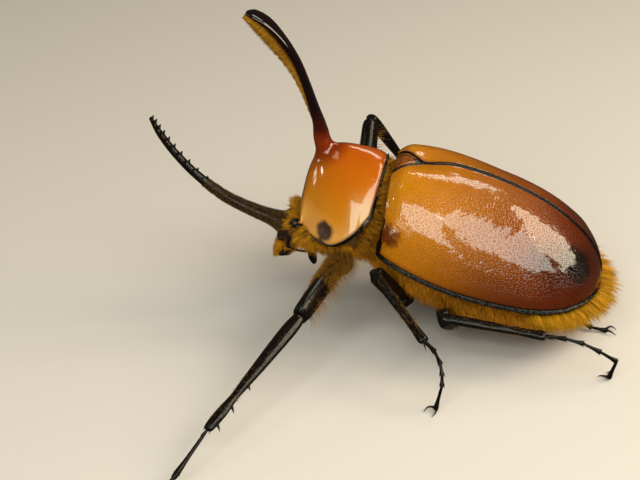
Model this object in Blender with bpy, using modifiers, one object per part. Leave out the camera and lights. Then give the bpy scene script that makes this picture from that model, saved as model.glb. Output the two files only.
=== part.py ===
"""Life-size still model of a male rhinoceros beetle, with a long head horn and a tall thorax horn.

Lengths are in millimetres until MM turns them into metres. Two frames are used, both facing -Y with
+Z up and the animal's left at +X:
- the body frame, with its origin in the mid-plane at the base of the wing cases, level with their rims;
- the standing frame, with the floor at z = 0, in which the body is lifted and pitched nose up.
The legs are laid out in the standing frame, and everything else in the body frame.
"""
import math

import bmesh
import bpy
from mathutils import Matrix, Vector

MM = 0.001

# Stance
BODY_LIFT = 17.2            # body origin above the floor
BODY_PITCH = 11.5           # degrees, nose up
CENTRE_X = 5.0              # middle of the whole animal's box, so that the origin lies under it
CENTRE_Y = 1.0

# Wing cases (elytra)
CASE_LENGTH = 38.2
CASE_HALF_WIDTH = 15.5
CASE_BASE_HALF_WIDTH = 11.8
CASE_HEIGHT = 15.48         # highest point of the back above the side rims
CASE_BASE_HEIGHT = 13.1
CASE_WIDEST = 0.53          # share of the length
CASE_HIGHEST = 0.345
CASE_THICKNESS = 0.7
CASE_FRONT_ROUNDNESS = 2.6  # superellipse exponent of a cross-section, in front and behind
CASE_HIND_ROUNDNESS = 1.9
CASE_SHOULDER_CURVE = 2.2   # exponents of the outline, in front of the widest place and behind it
CASE_TIP_CURVE = 3.26
CASE_TOP_CURVE = 0.62       # exponent of the fall of the back to the tip
FURROW_DEPTH = 1.0          # a shallow furrow along the front of the suture
FURROW_HALF_WIDTH = 3.0
SUTURE_GAP = 0.15           # half of the gap between the wing cases
SHIELD_GAP = 0.35
RIM_SAG = 1.75              # how far the side rims dip between base and tip
RIM_TIP_RISE = 0.46
BASE_ROLL_LENGTH = 2.4      # the base edge rolls down over this length
BASE_ROLL_DROP = 1.3
BASE_SWEEP = 0.8            # the base edge lies this much further back at the sides

# Scutellum, the small shield between the bases of the wing cases
SHIELD_BASE_Y = 0.9
SHIELD_LENGTH = 3.8
SHIELD_HALF_WIDTH = 3.0
SHIELD_BASE_Z = 10.2
SHIELD_TIP_Z = 12.3
SHIELD_THICKNESS = 0.8
SHIELD_SIDE_CURVE = 1.3
SHIELD_CROWN = 0.25

# Pronotum, the shell of the first body ring
PRONOTUM_FRONT = -13.8
PRONOTUM_CREST = -4.8       # the front face rises from the lip to this place
PRONOTUM_HIND = -1.1
PRONOTUM_LIP_Z = 1.4
PRONOTUM_TOP = 12.7
PRONOTUM_HIND_TOP = 12.0
PRONOTUM_FACE_CURVE = 3.6   # superellipse exponent of the front face, seen from the side
PRONOTUM_LIP_HALF_WIDTH = 7.2
PRONOTUM_LIP_START = -9.2
PRONOTUM_LIP_LEAN = 1.2     # the lip's sides lie this far behind its middle
PRONOTUM_HALF_WIDTH = 13.2
PRONOTUM_WIDEST_Y = -3.0
PRONOTUM_ROUNDNESS = 1.55   # superellipse exponent of a cross-section
PRONOTUM_THICKNESS = 0.8
PRONOTUM_HIND_SWEEP = 0.8   # the hind corners lie this much further forward than the middle
EDGE_LOWEST_Y = -9.8
EDGE_LOWEST_Z = -0.9
EDGE_HIND_RISE = 6.6
EDGE_HIND_CURVE = 2.3

# Thorax horn
HORN_SIDES = 10
HORN_FOOT_Y = -11.9
HORN_FOOT_HALF_WIDTH = 2.9
HORN_FOOT_HALF_LENGTH = 1.6
SEAT_THICKNESS = 2.0        # depth cleared around the pronotum under the horn's foot

# Soft body under the shells
CORE_INSET = 1.6            # inside the shells' outer faces
SIDE_INSET = 2.4            # inside the wing cases' side rims
BREAST_END = 15.6
BREAST_DEPTH = 7.0          # belly below the side rims
ABDOMEN_DEPTH = 7.0
FRINGE_LENGTH = 4.8         # hair that stands out behind the wing cases
PIECE_GAP = 0.3

# Legs
FEMUR_KNEE_ROOM = 1.1       # the femur ends this far before the middle of the knee
TIBIA_KNEE_ROOM = 1.5
CLAW_LENGTH = 1.9
CLAW_RADIUS = 0.27

# Fineness of the shells' grids: along, across
CASE_GRID = (14, 10)
SHIELD_GRID = (5, 5)
PRONOTUM_GRID = (12, 16)

COLOURS = {
    "amber_shell": ((0.42, 0.13, 0.015), 0.18),
    "orange_shell": ((0.50, 0.14, 0.012), 0.12),
    "black_horn": ((0.012, 0.007, 0.006), 0.22),
    "dark_red_horn": ((0.05, 0.009, 0.005), 0.2),
    "golden_hair": ((0.45, 0.25, 0.05), 0.6),
    "black_leg": ((0.008, 0.006, 0.005), 0.2),
    "dark_skin": ((0.03, 0.015, 0.01), 0.45),
    "eye_black": ((0.01, 0.008, 0.008), 0.08),
}


def make_materials():
    """One Principled material for each finish."""
    made = {}
    for name, (colour, roughness) in COLOURS.items():
        material = bpy.data.materials.new(name)
        material.use_nodes = True
        shader = material.node_tree.nodes["Principled BSDF"]
        shader.inputs["Base Color"].default_value = (*colour, 1.0)
        shader.inputs["Roughness"].default_value = roughness
        shader.inputs["Metallic"].default_value = 0.0
        made[name] = material
    return made


def add_object(name, bm, material, parent):
    """Turns a mesh made in millimetres into an object in metres."""
    bmesh.ops.scale(bm, vec=(MM, MM, MM), verts=bm.verts)
    mesh = bpy.data.meshes.new(name)
    bm.to_mesh(mesh)
    bm.free()
    mesh.materials.append(MATERIALS[material])
    mesh.shade_smooth()
    mesh.set_sharp_from_angle(angle=math.radians(40))
    node = bpy.data.objects.new(name, mesh)
    BEETLE.objects.link(node)
    node.parent = parent
    return node


def loft_mesh(rings):
    """A closed body over rings of equal point counts, with a flat cap at each end."""
    bm = bmesh.new()
    layers = [[bm.verts.new(point) for point in ring] for ring in rings]
    count = len(rings[0])
    for low, high in zip(layers, layers[1:]):
        for i in range(count):
            j = (i + 1) % count
            bm.faces.new((low[i], low[j], high[j], high[i]))
    bm.faces.new(layers[0])
    bm.faces.new(layers[-1])
    bmesh.ops.recalc_face_normals(bm, faces=bm.faces)
    return bm


def sheet(name, surface, grid, thickness, material, parent):
    """A shell: a grid laid on surface(u, v), u and v from 0 to 1, thickened on its inner side."""
    bm = bmesh.new()
    bmesh.ops.create_grid(bm, x_segments=grid[0], y_segments=grid[1], size=0.5)
    for vert in bm.verts:
        vert.co = surface(vert.co.x + 0.5, vert.co.y + 0.5)
    bmesh.ops.remove_doubles(bm, verts=bm.verts, dist=0.001)
    bmesh.ops.recalc_face_normals(bm, faces=bm.faces)
    top = max(bm.faces, key=lambda face: face.calc_center_median().z)
    if top.normal.z < 0:
        bmesh.ops.reverse_faces(bm, faces=bm.faces)
    node = add_object(name, bm, material, parent)
    wall = node.modifiers.new("wall", "SOLIDIFY")
    wall.thickness = thickness * MM
    wall.offset = -1.0
    return node


def smooth_path(stations, steps):
    """Catmull-Rom curve through stations, each a tuple of any number of values."""
    ends = [stations[0], *stations, stations[-1]]
    path = []
    for before, start, end, after in zip(ends, ends[1:], ends[2:], ends[3:]):
        for step in range(steps):
            t = step / steps
            path.append(tuple(
                0.5 * (2 * b + (c - a) * t + (2 * a - 5 * b + 4 * c - d) * t ** 2
                       + (3 * b - a - 3 * c + d) * t ** 3)
                for a, b, c, d in zip(before, start, end, after)))
    path.append(tuple(stations[-1]))
    return path


def limb_rings(stations, side, sides, steps):
    """Elliptic rings across a path; a station is (x, y, z, radius along side, radius across it)."""
    path = smooth_path(stations, steps)
    points = [Vector(station[:3]) for station in path]
    rings = []
    for i, station in enumerate(path):
        along = (points[min(i + 1, len(points) - 1)] - points[max(i - 1, 0)]).normalized()
        across = along.cross(Vector(side)).normalized()
        flank = across.cross(along)
        rings.append([
            points[i] + flank * station[3] * math.cos(turn) + across * station[4] * math.sin(turn)
            for turn in (2 * math.pi * k / sides for k in range(sides))])
    return rings


def limb(name, stations, material, parent, side=(1, 0, 0), sides=10, steps=3):
    """A tapering body of oval section along a smooth path."""
    return add_object(name, loft_mesh(limb_rings(stations, side, sides, steps)), material, parent)


def ellipsoid(name, centre, radii, material, parent, segments=12, rings=8):
    """A ball scaled to three radii."""
    bm = bmesh.new()
    bmesh.ops.create_uvsphere(bm, u_segments=segments, v_segments=rings, radius=1.0)
    bmesh.ops.scale(bm, vec=radii, verts=bm.verts)
    bmesh.ops.translate(bm, vec=centre, verts=bm.verts)
    return add_object(name, bm, material, parent)


def combined(node, others, operation):
    """Joins the others to node, or cuts them from it, and leaves one plain mesh."""
    for other in others:
        join = node.modifiers.new("join", "BOOLEAN")
        join.object = other
        join.operation = operation
    bpy.context.view_layer.update()
    evaluated = node.evaluated_get(bpy.context.evaluated_depsgraph_get())
    mesh = bpy.data.meshes.new_from_object(evaluated)
    node.modifiers.clear()
    node.data = mesh
    for other in others:
        bpy.data.objects.remove(other)
    return node


def cut_at_floor(node):
    """Cuts off what lies under the floor, which leaves small flats to stand on."""
    bm = bmesh.new()
    bm.from_mesh(node.data)
    to_floor = node.matrix_world.inverted()
    geometry = bm.verts[:] + bm.edges[:] + bm.faces[:]
    cut = bmesh.ops.bisect_plane(bm, geom=geometry, plane_co=to_floor @ Vector((0, 0, 0)),
                                 plane_no=(0, 0, 1), clear_inner=True)
    edges = [item for item in cut["geom_cut"] if isinstance(item, bmesh.types.BMEdge)]
    bmesh.ops.holes_fill(bm, edges=edges, sides=0)
    bmesh.ops.recalc_face_normals(bm, faces=bm.faces)
    bm.to_mesh(node.data)
    bm.free()


def power(value, exponent):
    """value to a power, with the sign kept."""
    return math.copysign(abs(value) ** exponent, value)


def section(y, half_width, side_z, top_z, bottom_z, count, belly_roundness=2.2, back_roundness=2.2):
    """A closed cross-section ring: superellipse arches above and below the level side_z."""
    ring = []
    for k in range(count):
        turn = 2 * math.pi * k / count
        above = math.sin(turn) >= 0
        reach = top_z - side_z if above else side_z - bottom_z
        roundness = back_roundness if above else belly_roundness
        ring.append(Vector((half_width * power(math.cos(turn), 2 / roundness), y,
                            side_z + reach * power(math.sin(turn), 2 / roundness))))
    return ring


# Outline of the wing cases, each as a function of the share of their length

def case_half_width(share):
    if share < CASE_WIDEST:
        narrowing = ((CASE_WIDEST - share) / CASE_WIDEST) ** CASE_SHOULDER_CURVE
        return CASE_HALF_WIDTH - (CASE_HALF_WIDTH - CASE_BASE_HALF_WIDTH) * narrowing
    behind = (share - CASE_WIDEST) / (1 - CASE_WIDEST)
    return CASE_HALF_WIDTH * math.sqrt(max(0.0, 1 - behind ** CASE_TIP_CURVE))


def case_arch(share):
    if share < CASE_HIGHEST:
        drop = ((CASE_HIGHEST - share) / CASE_HIGHEST) ** 2
        return CASE_HEIGHT - (CASE_HEIGHT - CASE_BASE_HEIGHT) * drop
    behind = (share - CASE_HIGHEST) / (1 - CASE_HIGHEST)
    return CASE_HEIGHT * max(0.0, 1 - behind ** 2) ** CASE_TOP_CURVE


def smoothstep(low, high, value):
    share = min(1.0, max(0.0, (value - low) / (high - low)))
    return share * share * (3 - 2 * share)


def case_roundness(share):
    """Superellipse exponent of a cross-section: boxy at the base, peaked behind."""
    return (CASE_FRONT_ROUNDNESS
            - (CASE_FRONT_ROUNDNESS - CASE_HIND_ROUNDNESS) * smoothstep(0.05, 0.5, share))


def furrow(share, x):
    fading = 1 - smoothstep(0.10, 0.28, share)
    return FURROW_DEPTH * fading * math.exp(-(x / FURROW_HALF_WIDTH) ** 2)


def rim_height(share):
    return RIM_TIP_RISE * share ** 2 - RIM_SAG * 4 * share * (1 - share)


def shield_half_width(y):
    """Half-width of the scutellum at y, zero behind its tip."""
    share = min(1.0, max(0.0, (y - SHIELD_BASE_Y) / SHIELD_LENGTH))
    return SHIELD_HALF_WIDTH * (1 - share ** SHIELD_SIDE_CURVE)


def case_surface(hand):
    """Outer face of a wing case: u runs from base to tip, v from the side rim to the suture."""
    def surface(u, v):
        share = math.sin(u * math.pi / 2)
        y = CASE_LENGTH * share
        roll = max(0.0, 1 - y / BASE_ROLL_LENGTH) ** 2
        sweep = BASE_SWEEP * (1 - share) ** 6
        half_width = case_half_width(share) - 0.5 * BASE_ROLL_DROP * roll
        arch = case_arch(share) - BASE_ROLL_DROP * roll
        inner = shield_half_width(y) + (SHIELD_GAP if y < SHIELD_BASE_Y + SHIELD_LENGTH else SUTURE_GAP)
        inner = min(inner, half_width)
        if half_width < 0.01:
            return Vector((hand * SUTURE_GAP, y, rim_height(share)))
        exponent = 2 / case_roundness(share)
        last_turn = math.acos(min(1.0, (inner / half_width) ** (1 / exponent)))
        turn = v * last_turn
        x = half_width * power(math.cos(turn), exponent)
        return Vector((hand * x, y + sweep * math.cos(turn) ** 2,
                       rim_height(share) + arch * power(math.sin(turn), exponent) - furrow(share, x)))
    return surface


def shield_surface(u, v):
    """Upper face of the scutellum, from base to tip."""
    y = SHIELD_BASE_Y + SHIELD_LENGTH * u
    across = 2 * v - 1
    z = SHIELD_BASE_Z + (SHIELD_TIP_Z - SHIELD_BASE_Z) * math.sin(u * math.pi / 2)
    return Vector((shield_half_width(y) * across, y, z - SHIELD_CROWN * across ** 2))


# Outline of the pronotum, each as a function of y

def front_share(y, start):
    """0 behind start, 1 at the front lip."""
    return min(1.0, max(0.0, (start - y) / (start - PRONOTUM_FRONT)))


def pronotum_half_width(y):
    """Half-width of the full arch, of which the side edges cut off the lowest part."""
    rounding = math.sqrt(1 - front_share(y, PRONOTUM_LIP_START) ** 4)
    ahead = max(0.0, PRONOTUM_WIDEST_Y - y)
    behind = max(0.0, y - PRONOTUM_WIDEST_Y)
    side = PRONOTUM_HALF_WIDTH - 0.2 * ahead ** 1.5 - 0.1 * behind ** 2
    return PRONOTUM_LIP_HALF_WIDTH + (side - PRONOTUM_LIP_HALF_WIDTH) * rounding


def pronotum_top(y):
    rise = (1 - front_share(y, PRONOTUM_CREST) ** PRONOTUM_FACE_CURVE) ** (1 / PRONOTUM_FACE_CURVE)
    fall = max(0.0, (y - PRONOTUM_CREST) / (PRONOTUM_HIND - PRONOTUM_CREST)) ** 2
    return (PRONOTUM_LIP_Z + (PRONOTUM_TOP - PRONOTUM_LIP_Z) * rise
            - (PRONOTUM_TOP - PRONOTUM_HIND_TOP) * fall)


def edge_rise(y):
    """How far the side edge lies above its lowest level: swept up towards the hind corner."""
    back = max(0.0, (y - EDGE_LOWEST_Y) / (PRONOTUM_HIND - EDGE_LOWEST_Y))
    return EDGE_HIND_RISE * back ** EDGE_HIND_CURVE


def edge_half_width(y):
    """Half-width of the pronotum at its side edges."""
    share = min(1.0, edge_rise(y) / (pronotum_top(y) - EDGE_LOWEST_Z))
    return pronotum_half_width(y) * (1 - share ** PRONOTUM_ROUNDNESS) ** (1 / PRONOTUM_ROUNDNESS)


def pronotum_height(x, y):
    """Height of the pronotum's outer face over a point."""
    across = min(1.0, abs(x) / pronotum_half_width(y))
    arch = (1 - across ** PRONOTUM_ROUNDNESS) ** (1 / PRONOTUM_ROUNDNESS)
    return EDGE_LOWEST_Z + (pronotum_top(y) - EDGE_LOWEST_Z) * arch


def pronotum_surface(u, v):
    """Outer face of the pronotum: u from the front lip to the hind edge, v from side to side."""
    y = PRONOTUM_FRONT + (PRONOTUM_HIND - PRONOTUM_FRONT) * (1 - math.cos(math.pi * u)) / 2
    exponent = 2 / PRONOTUM_ROUNDNESS
    height = pronotum_top(y) - EDGE_LOWEST_Z
    start = math.asin(min(edge_rise(y) / height, 0.98) ** (1 / exponent))
    turn = start + (math.pi - 2 * start) * v
    back = min(1.0, max(0.0, (y - PRONOTUM_LIP_START) / (PRONOTUM_HIND - PRONOTUM_LIP_START)))
    lean = PRONOTUM_LIP_LEAN * front_share(y, PRONOTUM_LIP_START) - PRONOTUM_HIND_SWEEP * back
    return Vector((pronotum_half_width(y) * power(math.cos(turn), exponent),
                   y + lean * math.cos(turn) ** 2, EDGE_LOWEST_Z + height * math.sin(turn) ** exponent))


def make_shells(body):
    """Wing cases, scutellum and pronotum."""
    for side, hand in (("left", 1), ("right", -1)):
        sheet(f"elytron_{side}", case_surface(hand), CASE_GRID, CASE_THICKNESS, "amber_shell", body)
    sheet("scutellum", shield_surface, SHIELD_GRID, SHIELD_THICKNESS, "dark_red_horn", body)
    sheet("pronotum", pronotum_surface, PRONOTUM_GRID, PRONOTUM_THICKNESS, "orange_shell", body)


def make_thorax_horn(body):
    """The tall horn on the pronotum, flattened and widened at its tip, with a brush on its front."""
    foot = []
    for k in range(HORN_SIDES):
        turn = 2 * math.pi * k / HORN_SIDES
        x = HORN_FOOT_HALF_WIDTH * math.cos(turn)
        y = HORN_FOOT_Y + HORN_FOOT_HALF_LENGTH * math.sin(turn)
        foot.append(Vector((x, y, pronotum_height(x, y) + PIECE_GAP)))
    shaft = limb_rings([
        # x, y, z, half-width, half-thickness
        (0, -12.9, 13.4, 2.0, 1.4),
        (0, -13.6, 15.0, 1.65, 1.1),
        (0, -15.0, 17.6, 1.35, 0.85),
        (0, -17.0, 21.2, 1.15, 0.72),
        (0, -19.4, 24.9, 1.2, 0.66),
        (0, -22.3, 28.0, 1.55, 0.6),
        (0, -25.2, 30.2, 1.95, 0.55),
        (0, -27.7, 31.1, 1.8, 0.45),
        (0, -29.0, 31.0, 0.9, 0.3),
    ], (1, 0, 0), HORN_SIDES, 2)
    horn = add_object("thorax_horn", loft_mesh([foot, *shaft]), "dark_red_horn", body)
    seat = sheet("seat", pronotum_surface, PRONOTUM_GRID, SEAT_THICKNESS, "dark_red_horn", body)
    seat.modifiers["wall"].offset = 2 * PIECE_GAP / SEAT_THICKNESS - 1
    combined(horn, [seat], "DIFFERENCE")
    limb("thorax_horn_brush", [
        (0, -15.9, 15.6, 0.5, 0.3),
        (0, -17.3, 18.0, 0.8, 0.55),
        (0, -19.6, 21.6, 1.0, 1.0),
        (0, -22.8, 25.5, 1.3, 1.15),
        (0, -25.9, 28.2, 1.6, 1.0),
        (0, -28.5, 29.7, 1.3, 0.5),
        (0, -29.3, 30.0, 0.6, 0.2),
    ], "golden_hair", body, sides=8, steps=2)


HEAD_HORN = [
    # x, y, z, half-width, half-thickness
    (0, -16.7, -4.6, 1.8, 1.4),
    (0, -18.6, -4.3, 1.4, 1.15),
    (0, -22.0, -3.8, 1.15, 1.0),
    (0, -26.8, -2.6, 1.0, 0.85),
    (0, -32.0, -0.1, 0.9, 0.72),
    (0, -36.4, 3.0, 0.85, 0.62),
    (0, -39.5, 5.9, 0.8, 0.5),
    (0, -41.6, 8.4, 0.55, 0.32),
]
TEETH_PAIRS = 8
TOOTH_LENGTH = 0.75


def tooth(name, root, direction, radius, length, parent):
    """A short cone that stands on root."""
    bm = bmesh.new()
    turn = Vector((0, 0, 1)).rotation_difference(direction).to_matrix().to_4x4()
    place = Matrix.Translation(root + direction * length / 2) @ turn
    bmesh.ops.create_cone(bm, cap_ends=True, segments=5, radius1=radius, radius2=0.2 * radius,
                          depth=length, matrix=place)
    return add_object(name, bm, "black_horn", parent)


def make_head(body):
    """Head, its horn with two rows of small teeth, eyes, jaws, palps and antennae."""
    head = add_object("head", loft_mesh([
        section(-16.3, 2.1, -4.8, -3.2, -6.4, 14),
        section(-15.5, 3.0, -4.8, -2.2, -7.5, 14),
        section(-14.4, 3.7, -4.6, -1.2, -8.8, 14),
        section(-13.2, 3.9, -4.4, -0.4, -9.1, 14),
        section(-12.75, 3.3, -4.3, -0.8, -8.2, 14),
    ]), "dark_skin", body)
    horn = limb("head_horn", HEAD_HORN, "black_horn", body, sides=8, steps=2)
    path = smooth_path(HEAD_HORN, 12)
    teeth = []
    for pair in range(TEETH_PAIRS):
        place = 0.50 + 0.47 * pair / (TEETH_PAIRS - 1)
        x, y, z, wide, thick = path[int(place * (len(path) - 1))]
        for hand in (1, -1):
            root = Vector((hand * 0.55 * wide, y, z + 0.45 * thick))
            lean = Vector((hand * 0.45, 0.35, 1.0)).normalized()
            teeth.append(tooth("tooth", root, lean, 0.32, TOOTH_LENGTH, body))
    combined(horn, teeth, "UNION")

    sockets = []
    for side, hand in (("left", 1), ("right", -1)):
        eye_place = (hand * 3.75, -13.6, -2.7)
        ellipsoid(f"eye_{side}", eye_place, (1.1, 1.3, 1.3), "eye_black", body)
        sockets.append(ellipsoid("socket", eye_place, (1.4, 1.6, 1.6), "dark_skin", body))
        limb(f"jaw_{side}", [
            (hand * 1.7, -13.6, -9.7, 0.7, 0.55),
            (hand * 1.9, -14.4, -9.9, 0.65, 0.5),
            (hand * 1.6, -14.9, -10.5, 0.45, 0.35),
            (hand * 1.0, -14.8, -11.0, 0.27, 0.25),
        ], "black_horn", body, sides=8, steps=2)
        limb(f"palp_{side}", [
            (hand * 3.2, -12.7, -9.3, 0.3, 0.3),
            (hand * 3.6, -13.3, -10.0, 0.32, 0.32),
            (hand * 3.6, -14.2, -10.2, 0.4, 0.4),
            (hand * 3.4, -14.9, -10.1, 0.27, 0.27),
        ], "dark_skin", body, sides=6, steps=2)
        limb(f"antenna_{side}", [
            (hand * 4.5, -14.0, -5.6, 0.35, 0.35),
            (hand * 5.6, -13.9, -5.8, 0.55, 0.55),
            (hand * 6.5, -12.7, -5.7, 0.35, 0.35),
            (hand * 6.6, -11.4, -5.5, 0.35, 0.35),
            (hand * 6.6, -10.3, -5.3, 0.4, 0.4),
        ], "dark_skin", body, side=(0, 0, 1), sides=8, steps=2)
        limb(f"antenna_club_{side}", [
            (hand * 6.6, -9.5, -4.4, 0.3, 0.35),
            (hand * 6.6, -9.3, -5.0, 0.5, 0.7),
            (hand * 6.7, -9.1, -6.0, 0.55, 0.8),
            (hand * 6.8, -9.0, -7.1, 0.45, 0.6),
            (hand * 6.8, -9.0, -7.6, 0.2, 0.3),
        ], "black_leg", body, sides=8, steps=2)
    combined(head, sockets, "DIFFERENCE")
    ellipsoid("mouth_brush", (0.0, -15.5, -8.9), (1.1, 0.7, 0.8), "golden_hair", body, 10, 6)


def make_soft_body(body):
    """Prothorax, breast and abdomen with their short hair, and the long hair fringe behind."""
    stations = (-12.1, -11.0, -9.0, -7.0, -5.0, -3.4, -2.2)
    rings = []
    for y in stations:
        rings.append(section(y, edge_half_width(y) - CORE_INSET - 0.7, EDGE_LOWEST_Z + edge_rise(y) + 0.3,
                             pronotum_top(y) - CORE_INSET - 0.6, -4.4 + 0.08 * (y + 6) ** 2, 20,
                             back_roundness=1.6))
    add_object("prothorax", loft_mesh(rings), "golden_hair", body)

    add_object("breast", loft_mesh([
        core_section(y, BREAST_DEPTH * belly) for y, belly in
        ((-0.5, 0.45), (1.0, 0.8), (4.0, 1.0), (8.0, 1.0), (12.0, 1.0), (BREAST_END, 0.97))
    ]), "golden_hair", body)
    hind_end = CASE_LENGTH - 2.4
    rings = []
    for k in range(9):
        y = BREAST_END + PIECE_GAP + (hind_end - BREAST_END - PIECE_GAP) * math.sin(k / 8 * math.pi / 2)
        share = y / CASE_LENGTH
        rings.append(core_section(y, ABDOMEN_DEPTH * math.sqrt(max(0.05, 1 - (share / 0.97) ** 6)), 2.7))
    add_object("abdomen", loft_mesh(rings), "dark_skin", body)


def core_section(y, depth, belly_roundness=2.2):
    """Cross-section of the body under the wing cases, depth below the side rims."""
    share = max(0.0, y / CASE_LENGTH)
    front_room = 2.6 * max(0.0, 1 - y / 8.0)
    return section(y, case_half_width(share) - SIDE_INSET - front_room, rim_height(share),
                   rim_height(share) + case_arch(share) - CORE_INSET - 0.2 - front_room,
                   rim_height(share) - depth, 20, belly_roundness)


def make_fringe(body):
    """The crescent of long hair that stands out below the tip of the wing cases."""
    first, last = 0.80, 0.995
    steps = 7
    outline = []
    for k in range(-steps, steps + 1):
        share = first + (last - first) * math.sin(math.pi / 2 * (1 - abs(k) / steps))
        outline.append(Vector((math.copysign(case_half_width(share), k), CASE_LENGTH * share, 0)))
    outline[steps].x = 0.0
    rings = []
    for k, rim in enumerate(outline):
        before = outline[max(k - 1, 0)]
        after = outline[min(k + 1, 2 * steps)]
        outward = (after - before).cross(Vector((0, 0, 1))).normalized()
        if outward.dot(rim - Vector((0, CASE_LENGTH / 2, 0))) < 0:
            outward.negate()
        fullness = 0.35 + 0.65 * math.sin(math.pi * k / (2 * steps))
        inner, outer = rim - outward * 0.6, rim + outward * (FRINGE_LENGTH * fullness)
        top, bottom = Vector((0, 0, -1.1)), Vector((0, 0, -1.5 - 2.6 * fullness))
        rings.append([inner + top, rim + outward + top * 1.2, outer + top + bottom * 0.35,
                      outer + bottom * 0.75, rim + outward + bottom, inner + bottom])
    add_object("tail_fringe", loft_mesh(rings), "golden_hair", body)


# Legs, in the standing frame: hip, knee and ankle, then the ends of the five tarsal segments
LEGS = {
    "front_left": ((6.8, -4.8, 14.4), (25.0, -9.6, 12.2), (48.0, -19.6, 5.4),
                   ((57.0, -22.8, 2.6), (60.5, -24.6, 1.7), (63.5, -26.4, 1.1), (66.3, -28.3, 0.8),
                    (70.3, -31.2, 0.35))),
    "front_right": ((-9.4, -4.6, 11.9), (-23.0, -4.7, 25.4), (-37.5, 2.4, 6.4),
                    ((-46.2, 4.2, 3.9), (-49.9, 4.8, 2.6), (-53.1, 5.1, 1.5), (-56.1, 5.2, 0.9),
                     (-60.6, 4.8, 0.35))),
    "middle_left": ((9.8, 5.4, 7.9), (14.8, 1.0, 15.8), (24.0, 10.5, 9.2),
                    ((25.8, 12.3, 8.7), (27.2, 13.4, 7.4), (28.1, 13.8, 5.9), (28.7, 13.9, 4.3),
                     (29.6, 13.1, 0.35))),
    "middle_right": ((-9.8, 5.4, 7.9), (-15.0, 1.6, 15.4), (-24.3, 11.4, 8.8),
                     ((-26.0, 13.2, 8.2), (-27.5, 14.3, 7.0), (-28.4, 14.9, 5.6), (-29.0, 15.2, 4.1),
                      (-29.8, 15.0, 0.35))),
    "hind_left": ((9.8, 14.0, 4.9), (18.0, 12.7, 10.3), (16.5, 29.3, 7.5),
                  ((17.1, 32.6, 7.7), (17.3, 35.4, 7.2), (17.3, 38.2, 5.9), (17.0, 40.9, 4.2),
                   (16.0, 39.9, 0.35))),
    "hind_right": ((-9.8, 13.6, 4.9), (-16.9, 15.3, 9.0), (-6.4, 27.3, 3.2),
                   ((-4.0, 29.8, 2.4), (-1.7, 32.2, 1.6), (0.1, 34.4, 1.1), (1.5, 36.6, 0.8),
                    (1.4, 39.2, 0.35))),
}
FEMUR_SHAPE = ((0.0, 0.5), (0.06, 0.75), (0.3, 0.95), (0.65, 1.0), (0.9, 0.98), (1.0, 0.7))
TIBIA_SHAPES = {
    # share of the length, half-width
    "front": ((0.0, 0.9), (0.1, 1.3), (0.35, 1.15), (0.6, 0.85), (0.72, 0.68), (0.86, 0.95), (1.0, 0.75)),
    "middle": ((0.0, 0.7), (0.1, 0.95), (0.45, 0.85), (0.75, 0.75), (0.95, 0.9), (1.0, 0.7)),
    "hind": ((0.0, 0.75), (0.1, 1.05), (0.45, 0.95), (0.75, 0.8), (0.95, 0.95), (1.0, 0.7)),
}
LEG_SIZES = {
    # femur half-width and half-thickness, tarsus radius
    "front": (2.0, 1.5, 0.5),
    "middle": (1.5, 1.0, 0.42),
    "hind": (1.7, 1.1, 0.42),
}


def between(start, end, share):
    return Vector(start).lerp(Vector(end), share)


def make_coxae(body):
    """The six hip pieces, under the breast."""
    for row, centre, radii in (("front", (4.7, -4.6, -7.0), (2.7, 1.9, 2.0)),
                               ("middle", (5.4, 6.8, -9.9), (2.6, 1.9, 1.3)),
                               ("hind", (5.8, 14.6, -9.9), (3.4, 1.9, 1.3))):
        for side, hand in (("left", 1), ("right", -1)):
            place = (hand * centre[0], centre[1], centre[2])
            ellipsoid(f"{row}_coxa_{side}", place, radii, "black_leg", body, 10, 6)


def make_leg(leg, floor):
    """Femur, tibia with its spines, and the five-part tarsus with two claws."""
    row, side = leg.split("_")
    hip, knee, ankle, toes = LEGS[leg]
    wide, thick, tarsus_radius = LEG_SIZES[row]
    hip, knee, ankle = Vector(hip), Vector(knee), Vector(ankle)
    thigh = (knee - hip).normalized()
    shin = (ankle - knee).normalized()

    stations = []
    for share, fullness in FEMUR_SHAPE:
        place = between(hip, knee - thigh * FEMUR_KNEE_ROOM, share)
        stations.append((*place, wide * fullness, thick * fullness))
    limb(f"{row}_femur_{side}", stations, "black_leg", floor, side=(0, 0, 1), sides=8, steps=1)

    stations = []
    for share, radius in TIBIA_SHAPES[row]:
        place = between(knee + shin * TIBIA_KNEE_ROOM, ankle - shin * 0.2, share)
        stations.append((*place, radius, 0.75 * radius))
    flat_side = shin.cross(Vector((0, 0, 1))).normalized()
    tibia = limb(f"{row}_tibia_{side}", stations, "black_leg", floor, side=flat_side, sides=8, steps=1)
    outward = flat_side if flat_side.y > 0 else -flat_side
    if row == "front":
        spines = [(share, (outward + shin * 0.6 - Vector((0, 0, 0.3))).normalized(), 1.6)
                  for share in (0.60, 0.78, 0.93)]
    else:
        spines = [(0.95, (shin + flat_side * sign * 0.45).normalized(), 2.2) for sign in (-1, 1)]
    spines = [tooth("spine", between(knee, ankle, share), direction, 0.4, length, floor)
              for share, direction, length in spines]
    combined(tibia, spines, "UNION")

    make_tarsus(row, side, ankle, toes, tarsus_radius, floor)


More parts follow.
